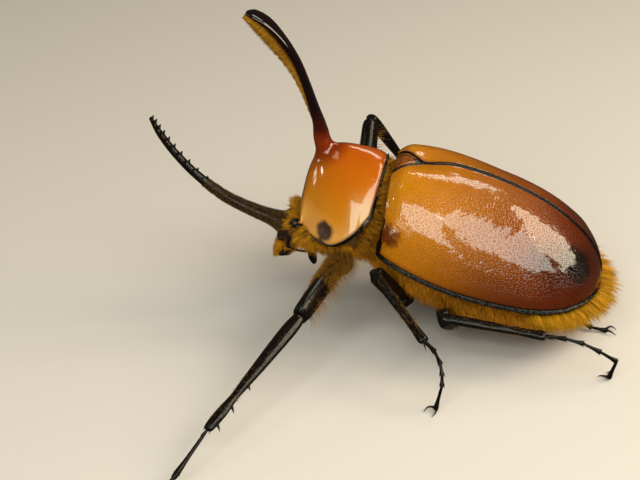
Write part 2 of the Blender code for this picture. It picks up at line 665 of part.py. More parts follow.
def make_tarsus(row, side, ankle, toes, radius, floor):
    """Five segments, each narrow at its start and wide at its end, and a pair of claws."""
    start = between(ankle, toes[0], 0.0) + (Vector(toes[0]) - ankle).normalized() * 0.55
    stations = []
    for index, toe in enumerate(toes):
        end = Vector(toe)
        for share, fullness in ((0.0, 0.65), (0.85, 1.0), (1.0, 0.8)):
            if share == 0.0 and index:
                continue
            place = between(start, end, share)
            stations.append((*place, radius * fullness, radius * fullness))
        start = end
    tarsus = limb(f"{row}_tarsus_{side}", stations, "black_leg", floor, side=(0.3, 0.4, 1.0), sides=6,
                  steps=1)

    tip = Vector(toes[-1])
    ahead = (tip - Vector(toes[-2])) * Vector((1, 1, 0))
    ahead.normalize()
    beside = ahead.cross(Vector((0, 0, 1)))
    root = tip - ahead * 0.3
    root.z = 0.42
    claws = []
    for share in (-1.0, -0.65, -0.3, 0.0, 0.3, 0.65, 1.0):
        reach = abs(share)
        place = root + ahead * CLAW_LENGTH * reach + beside * 1.0 * math.sin(share * 2.0)
        place.z = 0.42 + 0.35 * math.sin(reach * math.pi) - 0.2 * reach
        claws.append((*place, CLAW_RADIUS, CLAW_RADIUS))
    claws = limb("claws", claws, "black_leg", floor, side=(0, 0, 1), sides=6, steps=1)
    combined(tarsus, [claws], "UNION")
    cut_at_floor(tarsus)


for old in list(bpy.data.objects):
    bpy.data.objects.remove(old)
MATERIALS = make_materials()
BEETLE = bpy.data.collections.new("rhinoceros_beetle")
bpy.context.scene.collection.children.link(BEETLE)

floor_frame = bpy.data.objects.new("floor_frame", None)
floor_frame.location = (-CENTRE_X * MM, -CENTRE_Y * MM, 0)
body_frame = bpy.data.objects.new("body_frame", None)
body_frame.parent = floor_frame
body_frame.location = (0, 0, BODY_LIFT * MM)
body_frame.rotation_euler = (-math.radians(BODY_PITCH), 0, 0)
for frame in (floor_frame, body_frame):
    BEETLE.objects.link(frame)

make_shells(body_frame)
make_thorax_horn(body_frame)
make_head(body_frame)
make_soft_body(body_frame)
make_fringe(body_frame)
make_coxae(body_frame)
for leg_name in LEGS:
    make_leg(leg_name, floor_frame)
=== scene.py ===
"""Looks of a life-size male rhinoceros beetle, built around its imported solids.

Pieces are shaped in millimetres, in one of two frames that both face -Y with +Z up and the animal's left
at +X, and are then laid in the model's own frame, in metres:
- the body frame, with its origin in the mid-plane at the base of the wing cases, level with their rims;
- the standing frame, with the floor at z = 0, for the legs.
"""
import math
import random

import bmesh
import bpy
import numpy as np
from mathutils import Matrix, Vector


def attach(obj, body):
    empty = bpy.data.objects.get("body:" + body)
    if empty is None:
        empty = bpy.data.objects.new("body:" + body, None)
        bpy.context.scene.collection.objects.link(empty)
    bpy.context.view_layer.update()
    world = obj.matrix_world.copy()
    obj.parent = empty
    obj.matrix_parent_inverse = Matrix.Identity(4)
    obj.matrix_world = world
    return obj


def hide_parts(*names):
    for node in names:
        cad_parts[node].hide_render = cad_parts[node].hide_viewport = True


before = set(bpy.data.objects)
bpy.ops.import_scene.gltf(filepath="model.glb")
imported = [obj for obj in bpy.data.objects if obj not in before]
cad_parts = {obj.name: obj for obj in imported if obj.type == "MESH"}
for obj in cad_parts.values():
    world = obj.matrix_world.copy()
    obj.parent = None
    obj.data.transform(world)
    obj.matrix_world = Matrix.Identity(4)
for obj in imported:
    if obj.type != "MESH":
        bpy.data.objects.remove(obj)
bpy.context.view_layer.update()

MM = 0.001

# Stance
BODY_LIFT = 17.2            # body origin above the floor
BODY_PITCH = math.radians(11.5)
CENTRE_X = 5.0              # middle of the whole animal's box
CENTRE_Y = 1.0
STANDING = Matrix.Scale(MM, 4) @ Matrix.Translation((-CENTRE_X, -CENTRE_Y, 0))
BODY = (Matrix.Scale(MM, 4) @ Matrix.Translation((-CENTRE_X, -CENTRE_Y, BODY_LIFT))
        @ Matrix.Rotation(-BODY_PITCH, 4, "X"))

# Wing cases (elytra)
CASE_LENGTH = 38.2
CASE_HALF_WIDTH = 15.5
CASE_BASE_HALF_WIDTH = 11.8
CASE_HEIGHT = 15.48
CASE_BASE_HEIGHT = 13.1
CASE_WIDEST = 0.53          # share of the length
CASE_HIGHEST = 0.345
CASE_THICKNESS = 0.5
CASE_FRONT_ROUNDNESS = 2.6
CASE_HIND_ROUNDNESS = 1.9
CASE_TOP_CURVE = 0.62
FURROW_DEPTH = 1.0
FURROW_HALF_WIDTH = 3.0
RIM_SAG = 1.75
RIM_TIP_RISE = 0.46
BASE_ROLL_LENGTH = 2.4
BASE_ROLL_DROP = 1.3
BASE_SWEEP = 0.8
SUTURE_GAP = 0.05
RIM_BEAD = 0.82             # width of the black bead along the rim
SUTURE_BEAD = 0.38          # and along the suture
BEAD_TAPER = 0.13           # the rim's bead turns up the base and thins out at this rate
RIB_HALF_WAVES = 17         # faint long ribs, counted from the rim to the suture
RIB_HEIGHT = 0.022
RIM_WRINKLES = 0.05         # height
CASE_GRID = (170, 130)

# Scutellum
SHIELD_BASE_Y = 0.6
SHIELD_LENGTH = 4.1
SHIELD_HALF_WIDTH = 3.0
SHIELD_SINK = 0.12            # its edges lie this far below the wing cases' inner edges
SHIELD_CROWN = 0.25
SHIELD_THICKNESS = 0.6

# Pronotum
PRONOTUM_FRONT = -13.8
PRONOTUM_CREST = -4.8
PRONOTUM_HIND = -1.1
PRONOTUM_LIP_Z = 1.4
PRONOTUM_TOP = 12.7
PRONOTUM_HIND_TOP = 12.0
PRONOTUM_FRONT_CURVE = 3.6
PRONOTUM_LIP_HALF_WIDTH = 7.2
PRONOTUM_LIP_START = -9.2
PRONOTUM_LIP_LEAN = 1.2       # the lip's sides lie this far behind its middle
PRONOTUM_HALF_WIDTH = 13.2
PRONOTUM_WIDEST_Y = -3.0
PRONOTUM_ROUNDNESS = 1.55
PRONOTUM_THICKNESS = 0.6
PRONOTUM_HIND_SWEEP = 0.8
FRONT_BEAD = 0.6              # the front part's bead is this share as wide as the hind part's
BEAD_WIDENS = (-7.5, -4.0)    # between these two y
EDGE_LOWEST_Y = -9.8
EDGE_LOWEST_Z = -0.9
EDGE_HIND_RISE = 6.6
EDGE_HIND_CURVE = 2.3

SIDE_PIT = Vector((10.4, -8.3, 1.5))
SIDE_PIT_REACH = (3.0, 1.5, 1.7)
SIDE_PIT_DEPTH = 0.32
SHOULDER_KNOB = Vector((11.3, 2.2, 4.6))
TAIL_KNOB = Vector((8.2, 33.4, 6.2))
CASE_KNOBS = ((SHOULDER_KNOB, 2.2, 0.42), (TAIL_KNOB, 3.2, 0.14))    # place, reach, height
HORN_FOOT_U = 0.253         # place and reach of the horn's foot on the pronotum's own surface
HORN_FOOT_REACH_U = 0.15
HORN_FOOT_REACH_V = 0.155
HORN_FOOT_SINK = 0.06       # the foot's edge lies this far under the pronotum's surface
HORN_SKIRT = 0.2            # share of the horn's tube that spreads into the pronotum

# Beads and grooves along an edge: distance from the edge, half-width, height
RIM_RELIEF = ((0.26, 0.27, 0.24), (0.72, 0.26, -0.15))
SUTURE_RELIEF = ((0.13, 0.13, 0.16), (0.38, 0.18, -0.12), (0.72, 0.14, 0.04))
SHIELD_RELIEF = ((0.2, 0.24, 0.14), (1.1, 0.35, 0.10))
PRONOTUM_RELIEF = ((0.2, 0.24, 0.16), (0.58, 0.28, -0.09))
FAR = 9.0                   # a distance that no bead, groove or pit reaches

SEED = 11


# ---------------------------------------------------------------- tools

def deselect():
    """Leaves edit mode and selects nothing."""
    if bpy.context.object and bpy.context.object.mode != "OBJECT":
        bpy.ops.object.mode_set(mode="OBJECT")
    bpy.ops.object.select_all(action="DESELECT")


def pick(piece):
    deselect()
    piece.select_set(True)
    bpy.context.view_layer.objects.active = piece


def edit_all(piece, *steps):
    """Runs edit-mode steps with the whole piece selected."""
    pick(piece)
    bpy.ops.object.mode_set(mode="EDIT")
    bpy.ops.mesh.select_all(action="SELECT")
    for step in steps:
        step()
    bpy.ops.object.mode_set(mode="OBJECT")


def merge_seams():
    bpy.ops.mesh.remove_doubles(threshold=0.0005)


def face_outwards():
    bpy.ops.mesh.normals_make_consistent(inside=False)


def modify(piece, kind, **settings):
    """Adds a modifier and applies it."""
    pick(piece)
    modifier = piece.modifiers.new(kind.lower(), kind)
    for name, value in settings.items():
        setattr(modifier, name, value)
    bpy.ops.object.modifier_apply(modifier=modifier.name)


def joined(pieces):
    """Several pieces made one, named after the first."""
    pick(pieces[0])
    for piece in pieces[1:]:
        piece.select_set(True)
    bpy.ops.object.join()
    return bpy.context.object


def settle(piece, name, material, place, stands_for=(), angle=50):
    """Lays a finished piece in the model and hides the imported parts that it stands for."""
    piece.name = name
    piece.data.name = name
    piece.data.transform(place)
    piece.data.materials.clear()
    piece.data.materials.append(material)
    pick(piece)
    bpy.ops.object.shade_smooth_by_angle(angle=math.radians(angle))
    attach(piece, "root")
    if stands_for:
        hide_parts(*stands_for)


def power(value, exponent):
    """Power that keeps the sign of its base."""
    return math.copysign(abs(value) ** exponent, value)


def smoothstep(low, high, value):
    share = min(1.0, max(0.0, (value - low) / (high - low)))
    return share * share * (3 - 2 * share)


def hump(distance, centre, half_width):
    """A smooth rise of height 1 at centre, zero half_width away from it."""
    share = np.clip(np.abs(distance - centre) / half_width, 0, 1)
    return np.cos(share * math.pi / 2) ** 2


def profile(distance, rows):
    """Height of beads and grooves that run at given distances from an edge."""
    return sum(height * hump(distance, middle, half_width) for middle, half_width, height in rows)


def crowded(share, crowding=0.8):
    """0 to 1, with the steps smallest at both ends."""
    return share - crowding * math.sin(2 * math.pi * share) / (2 * math.pi)


def smooth_path(stations, share):
    """Point of a Catmull-Rom curve through stations, each a tuple of any number of values."""
    ends = [stations[0], *stations, stations[-1]]
    place = min(max(share, 0.0), 1.0) * (len(stations) - 1)
    first = min(int(place), len(stations) - 2)
    t = place - first
    return [0.5 * (2 * b + (c - a) * t + (2 * a - 5 * b + 4 * c - d) * t ** 2
                   + (3 * b - a - 3 * c + d) * t ** 3)
            for a, b, c, d in zip(*ends[first:first + 4])]


def grid(rows, columns, place):
    """The points place(u, v) of a sheet: u runs down the rows and v along each row, from 0 to 1."""
    return np.array([[place(row / (rows - 1), column / (columns - 1)) for column in range(columns)]
                     for row in range(rows)])


def laid_sheet(points, fields):
    """A grid with its points laid where the array says, and one attribute for each field."""
    rows, columns = points.shape[:2]
    deselect()
    bpy.ops.mesh.primitive_grid_add(x_subdivisions=rows - 1, y_subdivisions=columns - 1, size=1.0)
    sheet = bpy.context.object
    places = [(round((vert.co.x + 0.5) * (rows - 1)), round((vert.co.y + 0.5) * (columns - 1)))
              for vert in sheet.data.vertices]
    for vert, place in zip(sheet.data.vertices, places):
        vert.co = points[place]
    for name, values in fields.items():
        attribute = sheet.data.attributes.new(name, "FLOAT", "POINT")
        attribute.data.foreach_set("value", [float(values[place]) for place in places])
    edit_all(sheet, merge_seams, face_outwards)
    top = max(sheet.data.polygons, key=lambda face: face.center.z)
    if top.normal.z < 0:
        edit_all(sheet, bpy.ops.mesh.flip_normals)
    return sheet


def sheet_normals(points):
    """Unit normals of a grid of points, pointing up and outwards."""
    along = np.gradient(points, axis=0)
    across = np.gradient(points, axis=1)
    normals = np.cross(along, across)
    normals /= np.maximum(np.linalg.norm(normals, axis=2, keepdims=True), 1e-6)
    middle = normals[normals.shape[0] // 2, normals.shape[1] // 2]
    return normals if middle[2] > 0 else -normals


def raised(points, relief):
    """A grid's points pushed outwards by each one's height in relief."""
    return points + sheet_normals(points) * relief[:, :, None]


def distance_along(points, axis):
    """Distance of each point of a grid from the grid's first edge, measured along the surface."""
    steps = np.linalg.norm(np.diff(points, axis=axis), axis=2)
    pad = [(0, 0), (0, 0)]
    pad[axis] = (1, 0)
    return np.pad(np.cumsum(steps, axis=axis), pad)


def from_both_ends(points, axis):
    """Distance of each point of a grid from the nearer of the two edges that axis runs between."""
    from_first = distance_along(points, axis)
    whole = from_first.take([-1], axis=axis)
    return np.minimum(from_first, whole - from_first)


def tube(rings, sides, place):
    """A closed tube: a cylinder cut into rings, each point laid by place(share, turn, at_rim)."""
    deselect()
    bpy.ops.mesh.primitive_cylinder_add(vertices=sides, radius=1.0, depth=1.0, end_fill_type="TRIFAN")
    piece = bpy.context.object
    bpy.ops.object.mode_set(mode="EDIT")
    bpy.ops.mesh.select_mode(type="EDGE")
    bpy.ops.mesh.select_all(action="DESELECT")
    cage = bmesh.from_edit_mesh(piece.data)
    for edge in cage.edges:
        edge.select_set(abs(edge.verts[0].co.z - edge.verts[1].co.z) > 0.5)
    bmesh.update_edit_mesh(piece.data)
    bpy.ops.mesh.subdivide(number_cuts=rings - 2)
    bpy.ops.mesh.select_mode(type="VERT")
    bpy.ops.object.mode_set(mode="OBJECT")
    for vert in piece.data.vertices:
        x, y, z = vert.co
        vert.co = place(z + 0.5, math.atan2(y, x), x * x + y * y > 0.25)
    edit_all(piece, face_outwards)
    return piece


def limb_place(stations, side, relief=None):
    """Place function for a tube along stations of (x, y, z, radius along side, radius across it)."""
    def place(share, turn, at_rim):
        x, y, z, wide, thick = smooth_path(stations, share)
        centre = Vector((x, y, z))
        if not at_rim:
            return centre
        ahead = Vector(smooth_path(stations, share + 0.004)[:3])
        behind = Vector(smooth_path(stations, share - 0.004)[:3])
        along = (ahead - behind).normalized()
        across = along.cross(Vector(side)).normalized()
        flank = across.cross(along)
        swell = 1.0 + (relief(share, turn) if relief else 0.0)
        return centre + (flank * wide * math.cos(turn) + across * thick * math.sin(turn)) * swell
    return place


def limb(stations, side=(1, 0, 0), rings=40, sides=20, relief=None):
    return tube(rings, sides, limb_place(stations, side, relief))


def ball(centre, radii, segments=32, rings=20, tilt=(0, 0, 0)):
    deselect()
    bpy.ops.mesh.primitive_uv_sphere_add(segments=segments, ring_count=rings, radius=1.0)
    piece = bpy.context.object
    piece.scale = radii
    piece.rotation_euler = tilt
    piece.location = centre
    bpy.ops.object.transform_apply(location=True, rotation=True, scale=True)
    return piece


def cone(root, direction, radius, length, sides=10, blunt=0.15):
    """A short spine that stands on root."""
    direction = Vector(direction).normalized()
    deselect()
    bpy.ops.mesh.primitive_cone_add(
        vertices=sides, radius1=radius, radius2=radius * blunt, depth=length,
        location=Vector(root) + direction * length / 2,
        rotation=direction.to_track_quat("Z", "Y").to_euler())
    bpy.ops.object.transform_apply(location=True, rotation=True, scale=True)
    return bpy.context.object


# ---------------------------------------------------------------- finishes

class Finish:
    """A node material with a few short ways to add nodes; places are read in body-frame millimetres."""

    def __init__(self, name, **sockets):
        self.material = bpy.data.materials.new(name)
        self.material.use_nodes = True
        self.tree = self.material.node_tree
        self.shader = self.tree.nodes["Principled BSDF"]
        for socket, value in sockets.items():
            self.shader.inputs[socket.replace("_", " ")].default_value = value

    def node(self, kind, inputs=None, **settings):
        made = self.tree.nodes.new("ShaderNode" + kind)
        for name, value in settings.items():
            setattr(made, name, value)
        for socket, value in (inputs or {}).items():
            if isinstance(value, bpy.types.NodeSocket):
                self.tree.links.new(value, made.inputs[socket])
            else:
                made.inputs[socket].default_value = value
        return made

    def place(self):
        """Object coordinates turned back into the body frame, in millimetres."""
        source = self.node("TexCoord").outputs["Object"]
        back = Matrix.Rotation(BODY_PITCH, 3, "X")
        shift = back @ Vector((CENTRE_X, CENTRE_Y, -BODY_LIFT))
        return self.node("Mapping", {"Vector": source, "Location": shift,
                                     "Rotation": (BODY_PITCH, 0, 0),
                                     "Scale": (1 / MM, 1 / MM, 1 / MM)}).outputs["Vector"]

    def field(self, name):
        return self.node("Attribute", attribute_name=name).outputs["Fac"]

    def noise(self, vector, scale, detail=4.0, roughness=0.55, distortion=0.0):
        return self.node("TexNoise", {"Vector": vector, "Scale": scale, "Detail": detail,
                                      "Roughness": roughness,
                                      "Distortion": distortion}).outputs["Fac"]

    def cells(self, vector, scale):
        return self.node("TexVoronoi", {"Vector": vector, "Scale": scale}).outputs["Distance"]

    def sheet_cells(self, along, across, scale):
        """Distance to the nearest of many evenly strewn dots on a shell, in its own two lengths."""
        flat = self.node("CombineXYZ", {0: along, 1: across}).outputs[0]
        return self.node("TexVoronoi", {"Vector": flat, "Scale": scale, "Randomness": 0.75},
                         voronoi_dimensions="2D").outputs["Distance"]

    def math(self, operation, a, b=0.0, c=0.0):
        return self.node("Math", {0: a, 1: b, 2: c}, operation=operation).outputs[0]

    def plus(self, a, b):
        return self.math("ADD", a, b)

    def times(self, a, b):
        return self.math("MULTIPLY", a, b)

    def centred(self, noise, amount):
        """Noise about zero, spread over the given amount."""
        return self.times(self.math("SUBTRACT", noise, 0.5), amount)

    def span(self, value, low, high, to_low=0.0, to_high=1.0):
        """Smooth step from to_low to to_high while value goes from low to high."""
        return self.node("MapRange", {"Value": value, "From Min": low, "From Max": high,
                                      "To Min": to_low, "To Max": to_high},
                         interpolation_type="SMOOTHSTEP").outputs["Result"]

    def split(self, vector):
        return self.node("SeparateXYZ", {0: vector}).outputs

    def near(self, vector, centre, stretch=(1, 1, 1)):
        """Distance from a place, with each axis divided by its stretch."""
        offset = self.node("VectorMath", {0: vector, 1: centre}, operation="SUBTRACT").outputs[0]
        scaled = self.node("VectorMath", {0: offset, 1: stretch}, operation="DIVIDE").outputs[0]
        return self.node("VectorMath", {0: scaled}, operation="LENGTH").outputs["Value"]

    def mirrored(self, vector):
        """The place with every axis made positive, so that a mark lies on both sides."""
        return self.node("VectorMath", {0: vector}, operation="ABSOLUTE").outputs[0]

    def blend(self, share, first, second):
        """first where share is 0 and second where it is 1."""
        mix = self.node("Mix", data_type="RGBA")
        for socket, value in ((0, share), (6, first), (7, second)):
            if isinstance(value, bpy.types.NodeSocket):
                self.tree.links.new(value, mix.inputs[socket])
            else:
                mix.inputs[socket].default_value = (*value, 1.0) if socket else value
        return mix.outputs[2]

    def ramp(self, value, *stops):
        """Colour ramp; a stop is (place, colour)."""
        node = self.node("ValToRGB", {"Fac": value})
        points = node.color_ramp.elements
        while len(points) < len(stops):
            points.new(0.5)
        for point, (place, colour) in zip(points, stops):
            point.position = place
            point.color = (*colour, 1.0)
        return node.outputs["Color"]

    def bump(self, height, strength, distance, under=None):
        inputs = {"Height": height, "Strength": strength, "Distance": distance * MM}
        if under is not None:
            inputs["Normal"] = under
        return self.node("Bump", inputs).outputs["Normal"]

    def finish(self, colour=None, roughness=None, normal=None):
        for socket, value in (("Base Color", colour), ("Roughness", roughness), ("Normal", normal)):
            if value is not None:
                self.tree.links.new(value, self.shader.inputs[socket])
        return self.material


BLACK = (0.006, 0.004, 0.003)
AMBER = ((0.0, (0.62, 0.215, 0.002)), (0.16, (0.56, 0.180, 0.0012)), (0.42, (0.35, 0.095, 0.001)),
         (0.64, (0.24, 0.048, 0.001)), (0.80, (0.11, 0.014, 0.0008)), (0.95, (0.016, 0.003, 0.0006)))
# painted shade on the low sides of the wing cases
LOW_SIDE_SHADE = (0.085, 0.011, 0.0015)
MOTTLE_BROWN = (0.13, 0.035, 0.002)
HALO_BROWN = (0.035, 0.004, 0.001)
KNOB_BLACK = (0.003, 0.001, 0.0008)
SHOULDER_RED = (0.095, 0.009, 0.001)
# painted shade beside the beads of the rim and the suture
EDGE_SHADE = (0.06, 0.009, 0.0015)
PUNCTURE_BROWN = (0.05, 0.010, 0.001)
BEAD_BROWN = (0.030, 0.008, 0.002)
# orange up the pronotum, redder at the top; the pale peach of the low stops is a painted soft reflection
ORANGE_AND_LOW_SHEEN = ((0.0, (0.78, 0.36, 0.085)), (0.16, (0.74, 0.33, 0.060)), (0.32, (0.62, 0.21, 0.010)),
          (0.55, (0.57, 0.160, 0.003)), (0.95, (0.47, 0.085, 0.0015)))
# painted soft reflection, tan, on the low hind corners of the pronotum
CORNER_SHEEN_TAN = (0.60, 0.31, 0.10)
HORN_FOOT_RED = (0.17, 0.014, 0.001)
HORN_RED = (0.040, 0.003, 0.001)
HORN_BLACK = (0.006, 0.0012, 0.001)
PIT_BLACK = (0.016, 0.004, 0.002)
EDGE_RED = (0.13, 0.022, 0.002)


def wing_case_chitin():
    """Amber, golden in front and red-brown behind, with black edges, dark knobs and fine punctures."""
    f = Finish("wing_case_chitin", IOR=1.5, Specular_IOR_Level=0.9)
    place = f.place()
    _, y, z = f.split(place)
    drift = f.noise(place, 0.16, 3.0)
    along = f.plus(f.times(y, 1 / CASE_LENGTH), f.centred(drift, 0.22))
    colour = f.ramp(along, *AMBER)
    # painted shade: the low sides of the wing cases darken, more so from the middle back
    low = f.times(f.span(z, 7.5, 1.0), f.span(y, 6.0, 24.0, 0.12, 1.0))
    colour = f.blend(f.times(low, 0.8), colour, LOW_SIDE_SHADE)
    mottle = f.span(f.noise(place, 2.6, 5.0, 0.65), 0.45, 0.75)
    colour = f.blend(f.times(mottle, 0.3), colour, MOTTLE_BROWN)

    sides = f.mirrored(place)
    ragged = f.centred(f.noise(place, 0.9, 4.0), 0.9)
    halo = f.plus(f.near(sides, TAIL_KNOB + Vector((1.6, -3.0, -0.8)), (6.5, 9.5, 4.8)), ragged)
    colour = f.blend(f.span(halo, 1.1, 0.2, 0.0, 0.8), colour, HALO_BROWN)
    knob = f.plus(f.near(sides, TAIL_KNOB, (3.8, 4.0, 3.2)), ragged)
    colour = f.blend(f.span(knob, 1.15, 0.55, 0.0, 0.98), colour, KNOB_BLACK)
    shoulder = f.plus(f.near(sides, SHOULDER_KNOB + Vector((0.2, 0.1, -0.2)), (2.4, 2.6, 2.5)), ragged)
    colour = f.blend(f.span(shoulder, 1.1, 0.45, 0.0, 0.9), colour, SHOULDER_RED)

    rim = f.plus(f.field("from_bead"), f.centred(drift, 0.3))
    suture = f.field("from_suture")
    edge = f.math("MAXIMUM", f.span(rim, 0.95, 0.78), f.span(suture, 0.50, 0.38))
    # painted shade in a band along the rim and the suture, beside their beads and grooves
    shade = f.math("MAXIMUM", f.span(rim, 1.8, 0.8, 0.0, 0.6), f.span(suture, 1.1, 0.4, 0.0, 0.5))
    colour = f.blend(shade, colour, EDGE_SHADE)
    colour = f.blend(edge, colour, BLACK)

    smooth_edges = f.math("SUBTRACT", 1.0, edge)
    punctures = f.sheet_cells(f.field("from_base"), f.field("from_rim"), 2.3)
    pits = f.span(punctures, 0.08, 0.30)
    hole = f.times(f.span(punctures, 0.22, 0.10), smooth_edges)
    colour = f.blend(f.times(hole, 0.45), colour, PUNCTURE_BROWN)
    swell = f.noise(place, 0.42, 3.0, 0.5)
    height = f.plus(f.times(f.times(pits, smooth_edges), 0.8), f.times(swell, 4.6))
    normal = f.bump(height, 0.7, 0.04)
    sheen = f.span(f.noise(place, 1.4, 4.0), 0.3, 0.7, 0.045, 0.085)
    return f.finish(colour, f.math("MULTIPLY_ADD", hole, 0.12, sheen), normal)


def case_edge_chitin():
    """Black bead along the rim and the suture, finely wrinkled."""
    f = Finish("case_edge_chitin", IOR=1.5, Specular_IOR_Level=0.18)
    place = f.place()
    grain = f.noise(place, 1.3, 4.0)
    colour = f.blend(f.span(grain, 0.55, 0.8), BLACK, BEAD_BROWN)
    height = f.plus(grain, f.span(f.cells(place, 2.6), 0.05, 0.35))
    return f.finish(colour, f.span(grain, 0.3, 0.7, 0.05, 0.12), f.bump(height, 0.8, 0.14))


def pronotum_chitin():
    """Very glossy orange, with a painted soft reflection that makes it pale low down and tan at the low hind
    corners; black edges and side pits, and a red-black horn.
    """
    f = Finish("pronotum_chitin", IOR=1.52, Specular_IOR_Level=0.8)
    place = f.place()
    _, y, z = f.split(place)
    drift = f.noise(place, 0.25, 3.0)
    # the ramp's pale peach low end is a painted soft reflection
    tone = f.plus(f.times(z, 1 / 13.0), f.centred(drift, 0.2))
    colour = f.ramp(tone, *ORANGE_AND_LOW_SHEEN)
    # painted soft reflection: tan on the low hind corners
    tan = f.times(f.span(y, -6.5, -3.0), f.span(z, 9.5, 6.0))
    colour = f.blend(f.times(tan, 0.85), colour, CORNER_SHEEN_TAN)
    foot = f.near(place, (0.0, -12.2, 12.6), (5.2, 4.6, 5.0))
    colour = f.blend(f.span(foot, 1.25, 0.45, 0.0, 0.9), colour, HORN_FOOT_RED)
    horn = f.plus(z, f.centred(drift, 1.4))
    colour = f.blend(f.span(horn, 12.6, 14.8), colour, HORN_RED)
    colour = f.blend(f.span(horn, 14.4, 17.6), colour, HORN_BLACK)

    ragged = f.centred(f.noise(place, 0.6, 3.0), 1.0)
    from_pit = f.near(f.mirrored(place), (SIDE_PIT.x, -SIDE_PIT.y, SIDE_PIT.z), (2.6, 1.75, 1.75))
    pit = f.plus(from_pit, ragged)
    colour = f.blend(f.span(pit, 1.15, 0.6, 0.0, 0.95), colour, PIT_BLACK)
    from_edge = f.times(f.field("from_edge"), f.span(y, *BEAD_WIDENS, 1.7, 1.0))
    colour = f.blend(f.span(from_edge, 1.3, 0.4, 0.0, 0.45), colour, EDGE_RED)
    colour = f.blend(f.span(from_edge, 0.52, 0.34), colour, BLACK)

    pores = f.span(f.cells(place, 3.0), 0.05, 0.26)
    back = f.span(y, -6.0, -3.4)
    height = f.plus(f.times(pores, f.math("MULTIPLY_ADD", back, 0.8, 0.05)),
                    f.times(f.noise(place, 1.6, 2.0), 0.6))
    normal = f.bump(height, 0.5, 0.035)
    return f.finish(colour, f.span(pit, 1.05, 0.8, 0.085, 0.45), normal)


def black_chitin(name, tint, roughness_low, roughness_high, grain):
    """Near-black glossy chitin with a faint brown bloom and fine dents."""
    f = Finish(name, IOR=1.5, Specular_IOR_Level=0.24)
    place = f.place()
    bloom = f.span(f.noise(place, 0.7, 4.0), 0.5, 0.9)
    colour = f.blend(bloom, BLACK, tint)
    height = f.plus(f.span(f.cells(place, grain), 0.05, 0.35), f.noise(place, grain * 0.6, 4.0))
    roughness = f.span(f.noise(place, 2.0, 4.0), 0.35, 0.7, roughness_low, roughness_high)
    return f.finish(colour, roughness, f.bump(height, 0.5, 0.07))


def shield_chitin():
    """Red-brown middle with a dark fold, and black edges and tip."""
    f = Finish("shield_chitin", IOR=1.5)
    place = f.place()
    warm = f.noise(place, 0.8, 4.0)
    colour = f.ramp(warm, (0.3, (0.17, 0.036, 0.003)), (0.7, (0.42, 0.125, 0.012)))
    fold = f.math("ABSOLUTE", f.math("SUBTRACT", f.field("from_edge"), 1.25))
    colour = f.blend(f.span(fold, 0.30, 0.10, 0.0, 0.85), colour, (0.05, 0.008, 0.001))
    colour = f.blend(f.span(f.field("from_edge"), 0.55, 0.25), colour, BLACK)
    apex = f.near(place, (0.0, SHIELD_BASE_Y + SHIELD_LENGTH - 0.8, 12.9), (0.9, 1.2, 2.5))
    colour = f.blend(f.span(apex, 1.1, 0.6), colour, BLACK)
    pits = f.span(f.cells(place, 3.0), 0.05, 0.3)
    return f.finish(colour, f.span(warm, 0.3, 0.7, 0.16, 0.3), f.bump(pits, 0.5, 0.04))


def head_chitin():
    """Dark brown to black head capsule, coarsely punctured, redder round the mouth."""
    f = Finish("head_chitin", IOR=1.5)
    place = f.place()
    _, _, z = f.split(place)
    colour = f.ramp(f.noise(place, 0.9, 4.0), (0.3, (0.012, 0.006, 0.004)), (0.75, (0.06, 0.022, 0.008)))
    colour = f.blend(f.span(z, -7.0, -9.0, 0.0, 0.8), colour, (0.11, 0.022, 0.008))
    pits = f.span(f.cells(place, 2.4), 0.05, 0.35)
    return f.finish(colour, f.span(f.noise(place, 2.0), 0.3, 0.7, 0.25, 0.45), f.bump(pits, 0.7, 0.06))


def eye_surface():
    """Grey-black eye with very fine facets."""
    f = Finish("eye_surface", IOR=1.45, Specular_IOR_Level=0.3)
    place = f.place()
    colour = f.ramp(f.noise(place, 0.6, 2.0), (0.3, (0.006, 0.005, 0.005)), (0.8, (0.022, 0.018, 0.015)))
    facets = f.span(f.cells(place, 9.0), 0.0, 0.5)
    return f.finish(colour, f.span(facets, 0.0, 1.0, 0.06, 0.14), f.bump(facets, 0.35, 0.01))


def coat_colour(f, place):
    """Golden hair colour that the skin and the hair share: browner below, lighter at the tail."""
    _, y, z = f.split(place)
    patch = f.noise(place, 0.35, 4.0)
    colour = f.ramp(patch, (0.3, (0.26, 0.135, 0.014)), (0.55, (0.34, 0.180, 0.022)),
                    (0.8, (0.20, 0.09, 0.010)))
    colour = f.blend(f.span(z, -4.0, -8.0, 0.0, 0.65), colour, (0.12, 0.045, 0.007))
    return f.blend(f.span(y, 27.0, 36.0, 0.0, 0.65), colour, (0.50, 0.285, 0.026))


def skin_finish():
    """Skin under the hair: the coat's own colour, darkened, with short hair as bump."""
    f = Finish("skin_under_hair", Roughness=0.6)
    place = f.place()
    fibres = f.noise(place, 6.0, 5.0, 0.7, 0.6)
    colour = f.blend(f.span(fibres, 0.3, 0.7, 0.85, 0.45), coat_colour(f, place), (0.03, 0.013, 0.006))
    return f.finish(colour, f.span(fibres, 0.2, 0.8, 0.45, 0.75), f.bump(fibres, 0.8, 0.12))


def hair_finish(name, root_colour, root_share, tint, tint_share):
    """Tinted coat colour, darker at the roots, each hair a little lighter or darker than the next."""
    f = Finish(name, Roughness=0.42, Specular_IOR_Level=0.12)
    place = f.place()
    colour = f.blend(tint_share, coat_colour(f, place), tint)
    own = f.field("own_tone")
    colour = f.blend(f.span(own, 0.0, 1.0, 0.0, 0.6), colour, (0.07, 0.024, 0.004))
    colour = f.blend(f.span(f.field("along"), 0.0, 0.55, root_share, 0.0), colour, root_colour)
    return f.finish(colour, f.span(own, 0.0, 1.0, 0.3, 0.5),
                    f.bump(f.noise(place, 9.0, 2.0), 0.2, 0.02))


